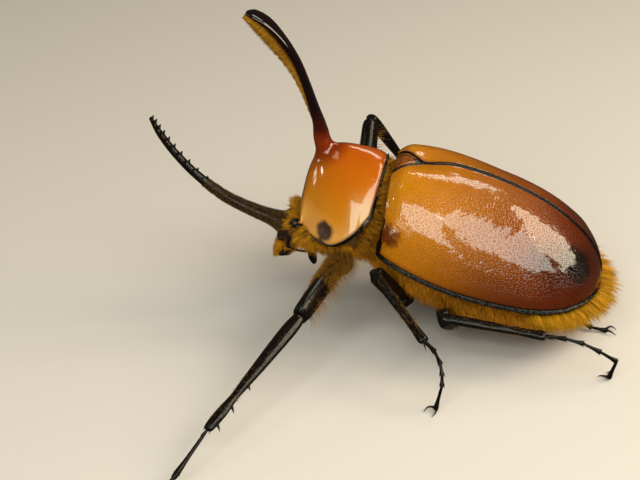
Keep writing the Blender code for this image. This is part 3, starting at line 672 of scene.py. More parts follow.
DARK_CHITINS = {
    # name, tint of the bloom, lowest and highest roughness, fineness of the grain
    "horn": ("horn_chitin", (0.014, 0.006, 0.003), 0.09, 0.18, 3.2),
    "leg": ("leg_chitin", (0.010, 0.005, 0.003), 0.07, 0.15, 2.6),
    "black": ("jaw_chitin", (0.050, 0.010, 0.005), 0.14, 0.26, 4.0),
    "brown": ("feeler_chitin", (0.090, 0.030, 0.010), 0.2, 0.35, 4.0),
}
HAIR_COATS = {
    # name, colour at the roots and its share, tint and its share
    "coat": ("golden_coat", (0.18, 0.055, 0.006), 0.4, (1.0, 0.41, 0.020), 0.85),
    "collar": ("collar_coat", (0.20, 0.065, 0.006), 0.5, (0.72, 0.29, 0.014), 0.88),
    "tail": ("tail_coat", (0.18, 0.05, 0.003), 0.5, (1.0, 0.49, 0.016), 0.88),
    "brush": ("brush_coat", (0.26, 0.085, 0.008), 0.6, (0.76, 0.35, 0.018), 0.82),
    "head_coat": ("head_coat", (0.20, 0.065, 0.005), 0.45, (1.0, 0.46, 0.020), 0.88),
    "mouth": ("mouth_coat", (0.50, 0.13, 0.004), 0.3, (1.0, 0.42, 0.010), 0.97),
    "dull": ("dull_fuzz", (0.035, 0.016, 0.007), 0.5, (0.17, 0.095, 0.040), 0.85),
    "leg_coat": ("leg_coat", (0.14, 0.05, 0.007), 0.45, (0.46, 0.20, 0.025), 0.88),
}


# ---------------------------------------------------------------- wing cases and scutellum

def case_half_width(share):
    """Half-width of both wing cases together, at a share of their length from the base."""
    if share < CASE_WIDEST:
        narrowing = ((CASE_WIDEST - share) / CASE_WIDEST) ** 2.2
        return CASE_HALF_WIDTH - (CASE_HALF_WIDTH - CASE_BASE_HALF_WIDTH) * narrowing
    behind = (share - CASE_WIDEST) / (1 - CASE_WIDEST)
    return CASE_HALF_WIDTH * math.sqrt(max(0.0, 1 - behind ** 3.26))


def case_arch(share):
    """Height of the wing cases' back above their rim."""
    if share < CASE_HIGHEST:
        drop = ((CASE_HIGHEST - share) / CASE_HIGHEST) ** 2
        return CASE_HEIGHT - (CASE_HEIGHT - CASE_BASE_HEIGHT) * drop
    behind = (share - CASE_HIGHEST) / (1 - CASE_HIGHEST)
    return CASE_HEIGHT * max(0.0, 1 - behind ** 2) ** CASE_TOP_CURVE


def case_roundness(share):
    """Superellipse exponent of a cross-section: boxy at the base, peaked behind."""
    return (CASE_FRONT_ROUNDNESS
            - (CASE_FRONT_ROUNDNESS - CASE_HIND_ROUNDNESS) * smoothstep(0.05, 0.5, share))


def furrow(share, x):
    """Depth of the shallow furrow along the front of the suture."""
    fading = 1 - smoothstep(0.10, 0.28, share)
    return FURROW_DEPTH * fading * math.exp(-(x / FURROW_HALF_WIDTH) ** 2)


def rim_height(share):
    """Level of the wing cases' rim: it sags in the middle and rises at the tip."""
    return RIM_TIP_RISE * share ** 2 - RIM_SAG * 4 * share * (1 - share)


def shield_half_width(y):
    share = min(1.0, max(0.0, (y - SHIELD_BASE_Y) / SHIELD_LENGTH))
    return SHIELD_HALF_WIDTH * (1 - share ** 1.3)


def case_point(hand, u, v):
    """Outer face of a wing case: u runs from base to tip, v from the side rim to the suture."""
    share = math.sin(u * math.pi / 2)
    y = CASE_LENGTH * share
    roll = max(0.0, 1 - y / BASE_ROLL_LENGTH) ** 2
    sweep = BASE_SWEEP * (1 - share) ** 6
    half_width = max(case_half_width(share) - 0.5 * BASE_ROLL_DROP * roll, SUTURE_GAP)
    arch = case_arch(share) - BASE_ROLL_DROP * roll
    inner = min(shield_half_width(y) + SUTURE_GAP, half_width)
    exponent = 2 / case_roundness(share)
    turn = v * math.acos((inner / half_width) ** (1 / exponent))
    x = half_width * power(math.cos(turn), exponent)
    return (hand * x, y + sweep * math.cos(turn) ** 2,
            rim_height(share) + arch * power(math.sin(turn), exponent) - furrow(share, x))


def blacken_edges(case, finish):
    """Gives the bead along the rim and the suture its own black finish."""
    case.data.materials.append(finish)
    fields = case.data.attributes
    for face in case.data.polygons:
        rim = min(fields["from_bead"].data[corner].value for corner in face.vertices)
        suture = min(fields["from_suture"].data[corner].value for corner in face.vertices)
        face.material_index = int(rim < RIM_BEAD or suture < SUTURE_BEAD)


def make_wing_case(side, hand, finish, edge_finish):
    """A wing case with a raised bead along its rim and suture, two knobs and faint long ribs."""
    points = grid(*CASE_GRID, lambda u, v: case_point(hand, u, crowded(v)))
    from_rim = distance_along(points, 1)
    girth = from_rim[:, -1:]
    from_suture = girth - from_rim
    from_base = distance_along(points, 0)
    from_bead = np.minimum(from_rim, from_base + BEAD_TAPER * from_rim)
    wrinkles = RIM_WRINKLES * (np.sin(4.1 * from_base) + np.sin(6.7 * from_base + 1.3))
    relief = profile(from_bead, RIM_RELIEF) + profile(from_suture, SUTURE_RELIEF)
    relief += wrinkles * hump(from_bead, *RIM_RELIEF[0][:2])
    for knob, reach, height in CASE_KNOBS:
        centre = np.array((hand * knob.x, knob.y, knob.z))
        relief += height * hump(np.linalg.norm(points - centre, axis=2), 0.0, reach)
    share_across = from_rim / np.maximum(girth, 0.01)
    ribs = np.cos(share_across * math.pi * RIB_HALF_WAVES) * np.clip(1.0 - 1.2 * share_across, 0, 1)
    relief += RIB_HEIGHT * ribs * np.sin(np.linspace(0, math.pi, CASE_GRID[0]))[:, None]
    room = np.clip((girth - 1.2) / 5.0, 0, 1)     # the relief fades out where the tip grows narrow
    case = laid_sheet(raised(points, relief * room),
                      {"from_rim": from_rim, "from_suture": from_suture, "from_base": from_base,
                       "from_bead": from_bead + FAR * (1 - room)})
    modify(case, "SOLIDIFY", thickness=CASE_THICKNESS, offset=-1.0, use_even_offset=False)
    settle(case, f"wing_case_{side}", finish, BODY, [f"elytron_{side}"], 60)
    blacken_edges(case, edge_finish)


def case_inner_edge(y):
    """Height of a wing case's inner edge at y, carried on downwards in front of its base."""
    share = max(0.0, y) / CASE_LENGTH
    return case_point(1, math.asin(share) * 2 / math.pi, 1.0)[2] + 0.9 * min(0.0, y)


def make_scutellum(finish):
    """The small shield that fills the gap between the bases of the wing cases, its edges raised."""
    start, tip = SHIELD_BASE_Y - 0.5, SHIELD_BASE_Y + SHIELD_LENGTH * 0.985

    def place(u, v):
        y = start + (tip - start) * u
        across = 2 * crowded(v, 0.5) - 1
        z = case_inner_edge(y) - SHIELD_SINK + SHIELD_CROWN * (1 - across ** 2)
        return (max(shield_half_width(y) - 0.04, 0.02) * across, y, z)
    points = grid(50, 50, place)
    from_edge = from_both_ends(points, 1)
    shield = laid_sheet(raised(points, profile(from_edge, SHIELD_RELIEF)), {"from_edge": from_edge})
    modify(shield, "SOLIDIFY", thickness=SHIELD_THICKNESS, offset=-1.0)
    settle(shield, "shield_plate", finish, BODY, ["scutellum"])


# ---------------------------------------------------------------- pronotum and its horn

def front_share(y, start):
    """0 behind start, 1 at the front lip."""
    return min(1.0, max(0.0, (start - y) / (start - PRONOTUM_FRONT)))


def pronotum_half_width(y):
    rounding = math.sqrt(1 - front_share(y, PRONOTUM_LIP_START) ** 4)
    ahead = max(0.0, PRONOTUM_WIDEST_Y - y)
    behind = max(0.0, y - PRONOTUM_WIDEST_Y)
    side = PRONOTUM_HALF_WIDTH - 0.2 * ahead ** 1.5 - 0.1 * behind ** 2
    return PRONOTUM_LIP_HALF_WIDTH + (side - PRONOTUM_LIP_HALF_WIDTH) * rounding


def pronotum_top(y):
    rise = (1 - front_share(y, PRONOTUM_CREST) ** PRONOTUM_FRONT_CURVE) ** (1 / PRONOTUM_FRONT_CURVE)
    fall = max(0.0, (y - PRONOTUM_CREST) / (PRONOTUM_HIND - PRONOTUM_CREST)) ** 2
    return (PRONOTUM_LIP_Z + (PRONOTUM_TOP - PRONOTUM_LIP_Z) * rise
            - (PRONOTUM_TOP - PRONOTUM_HIND_TOP) * fall)


def edge_rise(y):
    """How far the side edge lies above its lowest level: swept up towards the hind corner."""
    back = max(0.0, (y - EDGE_LOWEST_Y) / (PRONOTUM_HIND - EDGE_LOWEST_Y))
    return EDGE_HIND_RISE * back ** EDGE_HIND_CURVE


def pronotum_point(u, v):
    """Outer face of the pronotum: u from the front lip to the hind edge, v from side to side."""
    y = PRONOTUM_FRONT + (PRONOTUM_HIND - PRONOTUM_FRONT) * (1 - math.cos(math.pi * u)) / 2
    exponent = 2 / PRONOTUM_ROUNDNESS
    height = pronotum_top(y) - EDGE_LOWEST_Z
    start = math.asin(min(edge_rise(y) / height, 0.98) ** (1 / exponent))
    turn = start + (math.pi - 2 * start) * v
    aside = math.cos(turn) ** 2
    back = min(1.0, max(0.0, (y - PRONOTUM_LIP_START) / (PRONOTUM_HIND - PRONOTUM_LIP_START)))
    lean = PRONOTUM_LIP_LEAN * front_share(y, PRONOTUM_LIP_START) - PRONOTUM_HIND_SWEEP * back
    return (pronotum_half_width(y) * power(math.cos(turn), exponent), y + lean * aside,
            EDGE_LOWEST_Z + height * math.sin(turn) ** exponent)


def make_pronotum():
    """The shell of the first body ring: beaded edges and a shallow pit low on each side."""
    points = grid(120, 170, lambda u, v: pronotum_point(crowded(u, 0.55), crowded(v, 0.6)))
    from_edge = np.minimum(from_both_ends(points, 0), from_both_ends(points, 1))
    narrow, full = BEAD_WIDENS
    bead = FRONT_BEAD + (1 - FRONT_BEAD) * np.clip((points[:, :, 1] - narrow) / (full - narrow), 0, 1)
    relief = bead * profile(from_edge / bead, PRONOTUM_RELIEF)
    reach_x, reach_y, reach_z = SIDE_PIT_REACH
    for hand in (1, -1):
        offset = np.abs(points - np.array((hand * SIDE_PIT.x, SIDE_PIT.y, SIDE_PIT.z)))
        reach = np.sqrt((offset[:, :, 1] / reach_y) ** 2 + (offset[:, :, 2] / reach_z) ** 2)
        from_pit = np.where(offset[:, :, 0] < reach_x, reach, FAR)
        relief -= SIDE_PIT_DEPTH * hump(from_pit, 0.0, 1.0)
    shell = laid_sheet(raised(points, relief), {"from_edge": from_edge})
    modify(shell, "SOLIDIFY", thickness=PRONOTUM_THICKNESS, offset=-1.0, use_even_offset=False)
    return shell


THORAX_HORN = [
    # x, y, z, half-width, half-thickness
    (0, -13.25, 14.1, 1.85, 1.25),
    (0, -13.6, 15.0, 1.65, 1.1),
    (0, -14.2, 16.2, 1.48, 0.95),
    (0, -15.0, 17.6, 1.35, 0.85),
    (0, -17.0, 21.2, 1.15, 0.72),
    (0, -19.4, 24.9, 1.2, 0.66),
    (0, -22.3, 28.0, 1.55, 0.6),
    (0, -25.2, 30.2, 1.95, 0.55),
    (0, -27.7, 31.1, 1.8, 0.45),
    (0, -29.0, 31.0, 0.75, 0.25),
]


def make_thorax_horn():
    """The tall horn: its foot spreads into the pronotum, and its upper part widens to a flat tip."""
    shaft = limb_place(THORAX_HORN, (1, 0, 0), lambda share, turn: -0.10 * math.cos(2 * turn) ** 2)

    def foot(turn, reach):
        """Point of the pronotum's surface at a share of the foot's reach."""
        return Vector(pronotum_point(HORN_FOOT_U + HORN_FOOT_REACH_U * math.sin(turn) * reach,
                                     0.5 - HORN_FOOT_REACH_V * math.cos(turn) * reach))

    def place(share, turn, at_rim):
        if share >= HORN_SKIRT:
            return shaft((share - HORN_SKIRT) / (1 - HORN_SKIRT), turn, at_rim)
        if not at_rim:
            return Vector(pronotum_point(HORN_FOOT_U, 0.5)) - Vector((0, 0, 0.5))
        # a cubic curve from the foot's edge, inwards along the pronotum and up into the shaft
        edge = foot(turn, 1.0)
        outward = Vector((0, 0, 1)) + (edge - Vector((0, -8.0, 3.0))).normalized()
        edge = edge - outward.normalized() * HORN_FOOT_SINK
        top = shaft(0.0, turn, True)
        inward = (foot(turn, 0.8) - edge).normalized()
        upward = (shaft(0.02, turn, True) - top).normalized()
        reach = (top - edge).length
        first = edge + inward * reach * 0.55
        second = top - upward * reach * 0.5
        b = share / HORN_SKIRT
        a = 1 - b
        return edge * a ** 3 + first * 3 * a * a * b + second * 3 * a * b * b + top * b ** 3
    return tube(110, 56, place)


def make_pronotum_with_horn(finish):
    """The pronotum and its horn, one piece as in life."""
    horn = make_thorax_horn()
    from_edge = horn.data.attributes.new("from_edge", "FLOAT", "POINT")
    from_edge.data.foreach_set("value", [FAR] * len(horn.data.vertices))
    whole = joined([make_pronotum(), horn])
    settle(whole, "pronotum_and_horn", finish, BODY, ["pronotum", "thorax_horn"], 70)


# ---------------------------------------------------------------- head

HEAD_HORN = [
    # x, y, z, half-width, half-thickness
    (0, -14.6, -4.9, 2.5, 2.4),
    (0, -15.6, -4.8, 2.15, 1.9),
    (0, -16.7, -4.6, 1.8, 1.45),
    (0, -18.6, -4.3, 1.4, 1.15),
    (0, -22.0, -3.8, 1.15, 1.0),
    (0, -26.8, -2.6, 1.0, 0.85),
    (0, -32.0, -0.1, 0.9, 0.72),
    (0, -36.4, 3.0, 0.85, 0.62),
    (0, -39.5, 5.9, 0.8, 0.5),
    (0, -41.4, 8.2, 0.42, 0.28),
]
HORN_TEETH_PAIRS = 13
HORN_TEETH_START = 0.50     # share of the horn's length
HORN_TEETH_SPAN = 0.485
HORN_TEETH_SLIP = 0.006     # left teeth are shifted on by this share, right teeth back


def make_head_horn(finish):
    """The long horn of the head, with a row of small teeth along each side of its upper face."""
    pieces = [limb(HEAD_HORN, rings=130, sides=28)]
    for pair in range(HORN_TEETH_PAIRS):
        share = HORN_TEETH_START + HORN_TEETH_SPAN * (pair / (HORN_TEETH_PAIRS - 1)) ** 0.92
        size = 0.55 + 0.45 * smoothstep(0.5, 0.75, share) - 0.25 * smoothstep(0.93, 1.0, share)
        for hand in (1, -1):
            _, y, z, wide, thick = smooth_path(HEAD_HORN, share + HORN_TEETH_SLIP * hand)
            root = Vector((hand * 0.50 * wide, y, z + 0.42 * thick))
            tooth = cone(root, (hand * 0.55, 0.25, 1.0), 0.36 * size, 0.80 * size, 12, 0.25)
            edit_all(tooth, lambda: bpy.ops.mesh.subdivide(number_cuts=1))
            pieces.append(tooth)
    settle(joined(pieces), "toothed_head_horn", finish, BODY, ["head_horn"], 60)


HEAD_CAPSULE = [
    # x, y, z, half-width, half-height
    (0, -16.3, -5.2, 1.7, 1.1),
    (0, -15.9, -5.2, 2.5, 1.9),
    (0, -15.0, -5.1, 3.3, 2.9),
    (0, -14.2, -5.0, 3.75, 3.5),
    (0, -13.4, -4.9, 3.95, 3.9),
    (0, -12.9, -4.9, 3.7, 3.9),
]


def make_head(finish):
    """The head capsule: broad in front, with a ridge over each eye and a flat shield over the mouth."""
    def relief(share, turn):
        brow = 0.10 * math.exp(-((abs(math.cos(turn)) - 0.85) / 0.12) ** 2) * (math.sin(turn) < 0)
        flat = -0.10 * max(0.0, math.sin(turn)) ** 3 * (1 - share)
        return brow * smoothstep(0.3, 0.7, share) + flat
    capsule = limb(HEAD_CAPSULE, rings=50, sides=56, relief=relief)
    lip = ball((0, -15.7, -7.0), (2.1, 0.85, 0.7), tilt=(0.5, 0, 0))
    throat = ball((0, -14.2, -8.4), (2.4, 1.5, 1.0))
    whole = joined([capsule, lip, throat])
    settle(whole, "head_capsule", finish, BODY, ["head"], 60)


# Start of each segment of the left palp, its drop and its radius
PALP_SEGMENTS = ((2.7, -13.2, -8.2, 0.5, 0.24), (2.8, -13.8, -8.6, 0.4, 0.26), (2.9, -14.4, -8.9, 0.25, 0.32))
ANTENNA_BEADS = 7


def make_face(finishes):
    """Eyes, jaws, palps and antennae."""
    for side, hand in (("left", 1), ("right", -1)):
        eye = ball((hand * 3.45, -13.6, -2.7), (0.95, 1.15, 1.15), 48, 32)
        settle(eye, f"eyeball_{side}", finishes["eye"], BODY, [f"eye_{side}"])

        jaw = limb([(hand * 1.7, -13.4, -8.9, 0.45, 0.4), (hand * 1.9, -13.9, -9.1, 0.75, 0.6),
                    (hand * 2.0, -14.5, -9.4, 0.68, 0.52), (hand * 1.7, -15.0, -10.0, 0.42, 0.34),
                    (hand * 1.0, -14.9, -10.6, 0.12, 0.1)], rings=30, sides=20)
        ridge = cone((hand * 1.9, -14.8, -9.7), (hand * 0.2, -0.8, -0.6), 0.35, 0.9)
        settle(joined([jaw, ridge]), f"mandible_{side}", finishes["black"], BODY,
               [f"jaw_{side}"])

        palp = [limb([(hand * x, y, z, radius * 0.6, radius * 0.6),
                      (hand * (x + 0.1), y - 0.5, z - drop * 0.6, radius, radius),
                      (hand * (x + 0.1), y - 0.85, z - drop, radius * 0.7, radius * 0.7)],
                     rings=12, sides=14)
                for x, y, z, drop, radius in PALP_SEGMENTS]
        settle(joined(palp), f"feeler_palp_{side}", finishes["brown"], BODY, [f"palp_{side}"])

        make_antenna(side, hand, finishes)


def make_antenna(side, hand, finishes):
    """A swollen first segment, seven small beads, and a club of three leaves."""
    beads = [limb([(hand * 4.2, -14.0, -5.5, 0.2, 0.2), (hand * 4.7, -14.0, -5.6, 0.3, 0.3),
                   (hand * 5.5, -13.9, -5.8, 0.45, 0.42), (hand * 6.0, -13.4, -5.8, 0.2, 0.2)],
                  side=(0, 0, 1), rings=18, sides=16)]
    chain = [(hand * 6.05, -13.2, -5.8), (hand * 6.5, -12.2, -5.65), (hand * 6.6, -11.0, -5.45),
             (hand * 6.6, -9.9, -5.2)]
    for bead in range(ANTENNA_BEADS):
        start, end = (Vector(smooth_path(chain, (bead + step) / ANTENNA_BEADS)) for step in (0.0, 1.05))
        middle = start.lerp(end, 0.7)
        beads.append(limb([(*start, 0.13, 0.13), (*middle, 0.25, 0.25), (*end, 0.16, 0.16)],
                          side=(0, 0, 1), rings=8, sides=12))
    settle(joined(beads), f"feeler_{side}", finishes["brown"], BODY, [f"antenna_{side}"])
    leaves = [ball((hand * (6.75 + 0.32 * leaf), -9.4, -5.9), (0.17, 0.62, 1.40), 28, 18,
                   (0.5, 0.05 * leaf, 0)) for leaf in (-1, 0, 1)]
    settle(joined(leaves), f"feeler_club_{side}", finishes["black"], BODY,
           [f"antenna_club_{side}"])


# ---------------------------------------------------------------- soft body

# Cross-sections of the skin: y, half-width, side level, top, bottom, roundness of the belly
NECK_SECTIONS = [
    (-12.7, 5.2, -2.4, 0.6, -5.9, 2.0),
    (-11.6, 7.2, -1.4, 4.6, -5.2, 2.2),
    (-9.0, 8.4, -1.2, 9.0, -4.8, 2.2),
    (-6.0, 9.0, -0.8, 10.2, -4.5, 2.2),
    (-3.4, 8.8, -0.2, 9.9, -4.2, 2.2),
    (-1.8, 8.6, 0.0, 9.7, -4.0, 2.2),
]
SKIN_DEPTH = 0.7            # the skin lies this far inside the hair
BELLY_DEPTH = 7.0
SKIN_SIDE_ROOM = 2.8        # between the skin and the outer faces of the wing cases, at the sides
SKIN_TOP_ROOM = 2.1         # and at the top
SKIN_FRONT_ROOM = 1.9       # added at the front, and fading out over SKIN_FRONT_FADE
SKIN_FRONT_FADE = 8.0
SKIN_TAIL = 0.965           # share of the wing cases' length where the belly comes up to the rim
SKIN_FRONT = -12.7
SKIN_HIND = 36.6
BELLY_PLATES = (15.0, 35.0)     # between these two y
BELLY_PLATE_LENGTH = 3.6
BELLY_PLATE_STEP = 0.22


def body_section(y):
    """Half-width, side level, top, bottom and belly roundness of the skin at y."""
    if y <= NECK_SECTIONS[-1][0]:
        places = [section[0] for section in NECK_SECTIONS]
        before = max(k for k in range(len(places)) if places[k] <= max(y, places[0]))
        after = min(before + 1, len(places) - 1)
        t = 0.0 if after == before else (y - places[before]) / (places[after] - places[before])
        return smooth_path(NECK_SECTIONS, (before + t) / (len(places) - 1))[1:]
    along = max(0.0, y / CASE_LENGTH)
    front_room = SKIN_FRONT_ROOM * max(0.0, 1 - y / SKIN_FRONT_FADE)
    fade = math.sqrt(max(0.03, 1 - (along / SKIN_TAIL) ** 6))
    half_width = case_half_width(along) - SKIN_SIDE_ROOM - front_room
    depth = (BELLY_DEPTH - SKIN_DEPTH) * (0.8 + 0.2 * smoothstep(-1.0, 4.0, y)) * fade
    rim = rim_height(along)
    top = rim + case_arch(along) - SKIN_TOP_ROOM - front_room
    behind = (half_width, rim, top, rim - depth, 2.2 + 0.5 * smoothstep(12, 20, y))
    t = smoothstep(NECK_SECTIONS[-1][0], 1.0, y)
    return [a + (b - a) * t for a, b in zip(NECK_SECTIONS[-1][1:], behind)]


def skin_point(y, turn, out=0.0):
    """Point of the skin at y, turned from the left side over the back; out pushes it outwards."""
    half_width, side_z, top_z, bottom_z, roundness = body_section(y)
    above = math.sin(turn) >= 0
    reach = top_z - side_z if above else side_z - bottom_z
    exponent = 2 / (2.2 if above else roundness)
    first, last = BELLY_PLATES
    if not above and first < y < last:
        step = (y - first) % BELLY_PLATE_LENGTH / BELLY_PLATE_LENGTH
        tilt = smoothstep(0.0, 0.9, step) * (1 - smoothstep(0.9, 1.0, step))
        out += BELLY_PLATE_STEP * tilt * -math.sin(turn)
    return Vector(((half_width + out) * power(math.cos(turn), exponent), y,
                   side_z + (reach + out) * power(math.sin(turn), exponent)))


def make_skin(finish):
    """One skin from the neck to the tail, with the plates of the belly."""
    def place(share, turn, at_rim):
        y = SKIN_FRONT + (SKIN_HIND - SKIN_FRONT) * share
        if at_rim:
            return skin_point(y, turn)
        _, _, top_z, bottom_z, _ = body_section(y)
        return Vector((0, y, (top_z + bottom_z) / 2))
    skin = tube(150, 72, place)
    settle(skin, "body_skin", finish, BODY, ["prothorax", "breast", "abdomen"], 40)


# ---------------------------------------------------------------- hair

HAIR_RADIUS = 0.036
FINE_HAIR_RADIUS = 0.034
ROOT_DEPTH = 0.05           # hairs start this far inside the skin
UNWRAP = 0.98               # the roots keep to this share of the unwrap
UNWRAP_TURN = 6.3           # just over a full turn, so that the last patch stays clear of the first
LOCK_HAIRS = 7
# Number of locks
SIDE_LOCKS = 2300           # on each side
COLLAR_LOCKS = 1180
GAP_LOCKS = 560             # in the gap between the pronotum and the wing cases
BREAST_LOCKS = 1650
TAIL_LOCKS = 1750
NAPE_LOCKS = 560
BEARD_LOCKS = 260
NECK_LOCKS = 420
# Number of single hairs
BRUSH_HAIRS = 12200
MOUTH_HAIRS = 2600
HORN_BASE_HAIRS = 9500


class Coat:
    """Many fine hairs in one mesh: three-sided, tapering, each with its own tone and its own patch of
    the unwrap of the surface that it grows on."""

    def __init__(self, seed, steps):
        self.draw = random.Random(seed)
        self.steps = steps
        self.strands = []

    def add(self, root, lie, droop, length, radius, patch):
        """A hair of a given length from root towards lie, bending towards droop, at patch (u, v)."""
        self.strands.append((Vector(root), Vector(lie).normalized(), Vector(droop), length, radius,
                             patch, self.draw.random()))

    def tuft(self, root, lie, droop, length, radius, patch, hairs=LOCK_HAIRS, width=0.16):
        """A small lock: hairs from a spot of the given width, their tips drawn together and their
        tones alike."""
        lie = Vector(lie).normalized()
        tone = self.draw.random()
        for _ in range(hairs):
            start = Vector(root) + spread(self.draw, width)
            tip = Vector(root) + lie * length + spread(self.draw, width * 0.55)
            own_length = (tip - start).length * self.draw.uniform(0.72, 1.0)
            self.add(start, tip - start, droop, own_length, radius, patch)
            self.strands[-1] = (*self.strands[-1][:-1],
                                min(1.0, max(0.0, tone + self.draw.gauss(0, 0.22))))

    def skin_lock(self, y, turn, stand, lean, stray, droop, lengths, fullness=1.0,
                  radius=HAIR_RADIUS, width=0.17):
        """A lock on the skin at y and turn: it stands out by stand and leans towards lean."""
        lie = skin_normal(y, turn) * stand + Vector(lean) + spread(self.draw, stray)
        length = self.draw.uniform(*lengths) * fullness
        self.tuft(skin_point(y, turn, -ROOT_DEPTH), lie, droop, length, radius, skin_patch(y, turn),
                  width=width)

    def mesh(self):
        """Points and faces of all hairs, and for each point its place along the hair, tone and patch."""
        steps = self.steps
        points, faces, along, own, patches = [], [], [], [], []
        for root, lie, droop, length, radius, patch, tone in self.strands:
            first = len(points)
            side = lie.cross((0.31, 0.52, 0.79)).normalized()
            other = lie.cross(side)
            for step in range(steps):
                t = step / steps
                centre = root + lie * (length * t) + droop * (length * t * t)
                thin = radius * (1 - t) ** 0.6
                for corner in range(3):
                    angle = corner * 2 * math.pi / 3
                    points.append(centre + side * (thin * math.cos(angle)) + other * (thin * math.sin(angle)))
                    along.append(t)
                    patches.append((patch[0] + 0.003 * t, patch[1] + 0.001 * corner))
            points.append(root + (lie + droop) * length)
            along.append(1.0)
            patches.append((patch[0] + 0.003, patch[1] + 0.001))
            own.extend([tone] * (steps * 3 + 1))
            for step in range(steps - 1):
                for corner in range(3):
                    a = first + step * 3 + corner
                    b = first + step * 3 + (corner + 1) % 3
                    faces.append((a, b, b + 3, a + 3))
            last = first + (steps - 1) * 3
            tip = first + steps * 3
            for corner in range(3):
                faces.append((last + corner, last + (corner + 1) % 3, tip))
            faces.append((first + 2, first + 1, first))
        return points, faces, along, own, patches

    def grow(self, name, finish, place, stands_for=()):
        """Makes the coat one piece, with its unwrap, and lays it in the model."""
        points, faces, along, own, patches = self.mesh()
        mesh = bpy.data.meshes.new(name)
        mesh.from_pydata(points, [], faces)
        unwrap = mesh.uv_layers.new(name="OFBake")
        corners = np.empty(len(mesh.loops), np.int32)
        mesh.loops.foreach_get("vertex_index", corners)
        unwrap.data.foreach_set("uv", np.array(patches)[corners].ravel())
        for field, values in (("along", along), ("own_tone", own)):
            attribute = mesh.attributes.new(field, "FLOAT", "POINT")
            attribute.data.foreach_set("value", values)
        piece = bpy.data.objects.new(name, mesh)
        bpy.context.scene.collection.objects.link(piece)
        settle(piece, name, finish, place, stands_for, 180)


def spread(draw, amount):
    """A small random push in all directions."""
    return Vector((draw.gauss(0, amount), draw.gauss(0, amount), draw.gauss(0, amount)))


def patch_at(share, turn):
    """Place of a hair's root on the unwrap: a share of the piece's length, and a turn round it."""
    return (share * UNWRAP, (turn / UNWRAP_TURN) % 1.0 * UNWRAP)


def skin_patch(y, turn):
    """Place of a hair's root on the unwrap of the skin: along the body and round it."""
    return ((y - SKIN_FRONT) / (SKIN_HIND - SKIN_FRONT) * UNWRAP, (turn / (2 * math.pi)) % 1.0 * UNWRAP)


def skin_normal(y, turn):
    """Unit normal of the skin, pointing outwards."""
    ahead = skin_point(y + 0.2, turn) - skin_point(y - 0.2, turn)
    onwards = skin_point(y, turn + 0.02) - skin_point(y, turn - 0.02)
    normal = ahead.cross(onwards).normalized()
    _, _, top_z, bottom_z, _ = body_section(y)
    middle = Vector((0, y, (top_z + bottom_z) / 2))
    return normal if normal.dot(skin_point(y, turn) - middle) > 0 else -normal


def make_body_coats(finish, collar_finish):
    """Short golden hair along the sides under the wing cases, round the neck and over the breast."""
    for side, hand in (("left", 1), ("right", -1)):
        coat = Coat(SEED + hand, 2)
        draw = coat.draw
        for _ in range(SIDE_LOCKS):
            y = draw.uniform(0.5, 33.0)
            turn = -draw.uniform(-0.10, 0.85)
            turn = turn if hand > 0 else math.pi - turn
            coat.skin_lock(y, turn, 0.75, (0, 0.55, -0.55), 0.22, (0, 0.12, -0.25), (1.4, 2.7),
                           fullness=0.7 + 0.3 * smoothstep(3.0, 10.0, y))
        coat.grow(f"side_hair_{side}", finish, BODY)

    collar = Coat(SEED + 5, 3)
    draw = collar.draw
    for _ in range(COLLAR_LOCKS):
        y = draw.uniform(-3.0, 1.2)
        turn = draw.uniform(-0.45, math.pi + 0.45)
        collar.skin_lock(y, turn, 0.8, (0, 0.85, 0.0), 0.2, (0, 0.15, -0.05), (1.7, 2.5),
                         radius=FINE_HAIR_RADIUS, width=0.16)
    for _ in range(GAP_LOCKS):
        y = draw.uniform(-1.1, 0.7)
        turn = draw.uniform(0.12, 0.88) * math.pi
        collar.skin_lock(y, turn, 1.0, (0, 0.35, 0.0), 0.18, (0, 0.10, -0.05), (1.8, 2.8),
                         radius=FINE_HAIR_RADIUS, width=0.16)
    collar.grow("collar_hair", collar_finish, BODY)

    breast = Coat(SEED + 6, 2)
    draw = breast.draw
    for _ in range(BREAST_LOCKS):
        y = draw.uniform(-12.2, 1.5)
        turn = draw.choice((-1, 1)) * draw.uniform(0.0, 1.45) - math.pi / 2
        breast.skin_lock(y, turn, 0.8, (0, 0.5, -0.45), 0.24, (0, 0.15, -0.2), (1.0, 2.2))
    breast.grow("breast_hair", finish, BODY)


# The hind half of the rim is close to an ellipse: squares of its half-width and of its length
TAIL_HALF_WIDTH_SQUARED = 240
TAIL_LENGTH_SQUARED = 324


def make_tail_hair(finish):
    """Long hair that fans out from under the rim at the tail."""
    tail = Coat(SEED + 7, 3)
    draw = tail.draw
    first, last, middle = 0.72, 0.993, 0.12
    for _ in range(TAIL_LOCKS):
        swing = draw.uniform(-1, 1)
        from_tip = max(0.0, abs(swing) - middle) / (1 - middle)
        share = first + (last - first) * math.sin(math.pi / 2 * (1 - from_tip))
        across = math.copysign(min(1.0, abs(swing) / middle), swing)
        rim = Vector((case_half_width(share) * across, CASE_LENGTH * share, 0))
        outward = Vector((rim.x / TAIL_HALF_WIDTH_SQUARED,
                          (rim.y - CASE_WIDEST * CASE_LENGTH) / TAIL_LENGTH_SQUARED, 0)).normalized()
        fullness = 0.25 + 0.75 * (1 - abs(swing)) ** 0.6
        depth = draw.uniform(0, 1) ** 1.3
        root = rim - outward * (0.6 + 1.8 * depth)
        root.z = rim_height(share) - 0.45 - 2.4 * depth * fullness
        lie = outward + Vector((0, 0.1, -0.06 - 0.55 * depth)) + spread(draw, 0.13)
        length = (2.0 + 3.9 * fullness) * draw.uniform(0.62, 1.0)
        tail.tuft(root, lie, (0, 0.02, -0.10), length, HAIR_RADIUS,
                  ((swing + 1) / 2 * UNWRAP, depth * UNWRAP), width=0.20)
    tail.grow("tail_hair", finish, BODY, ["tail_fringe"])


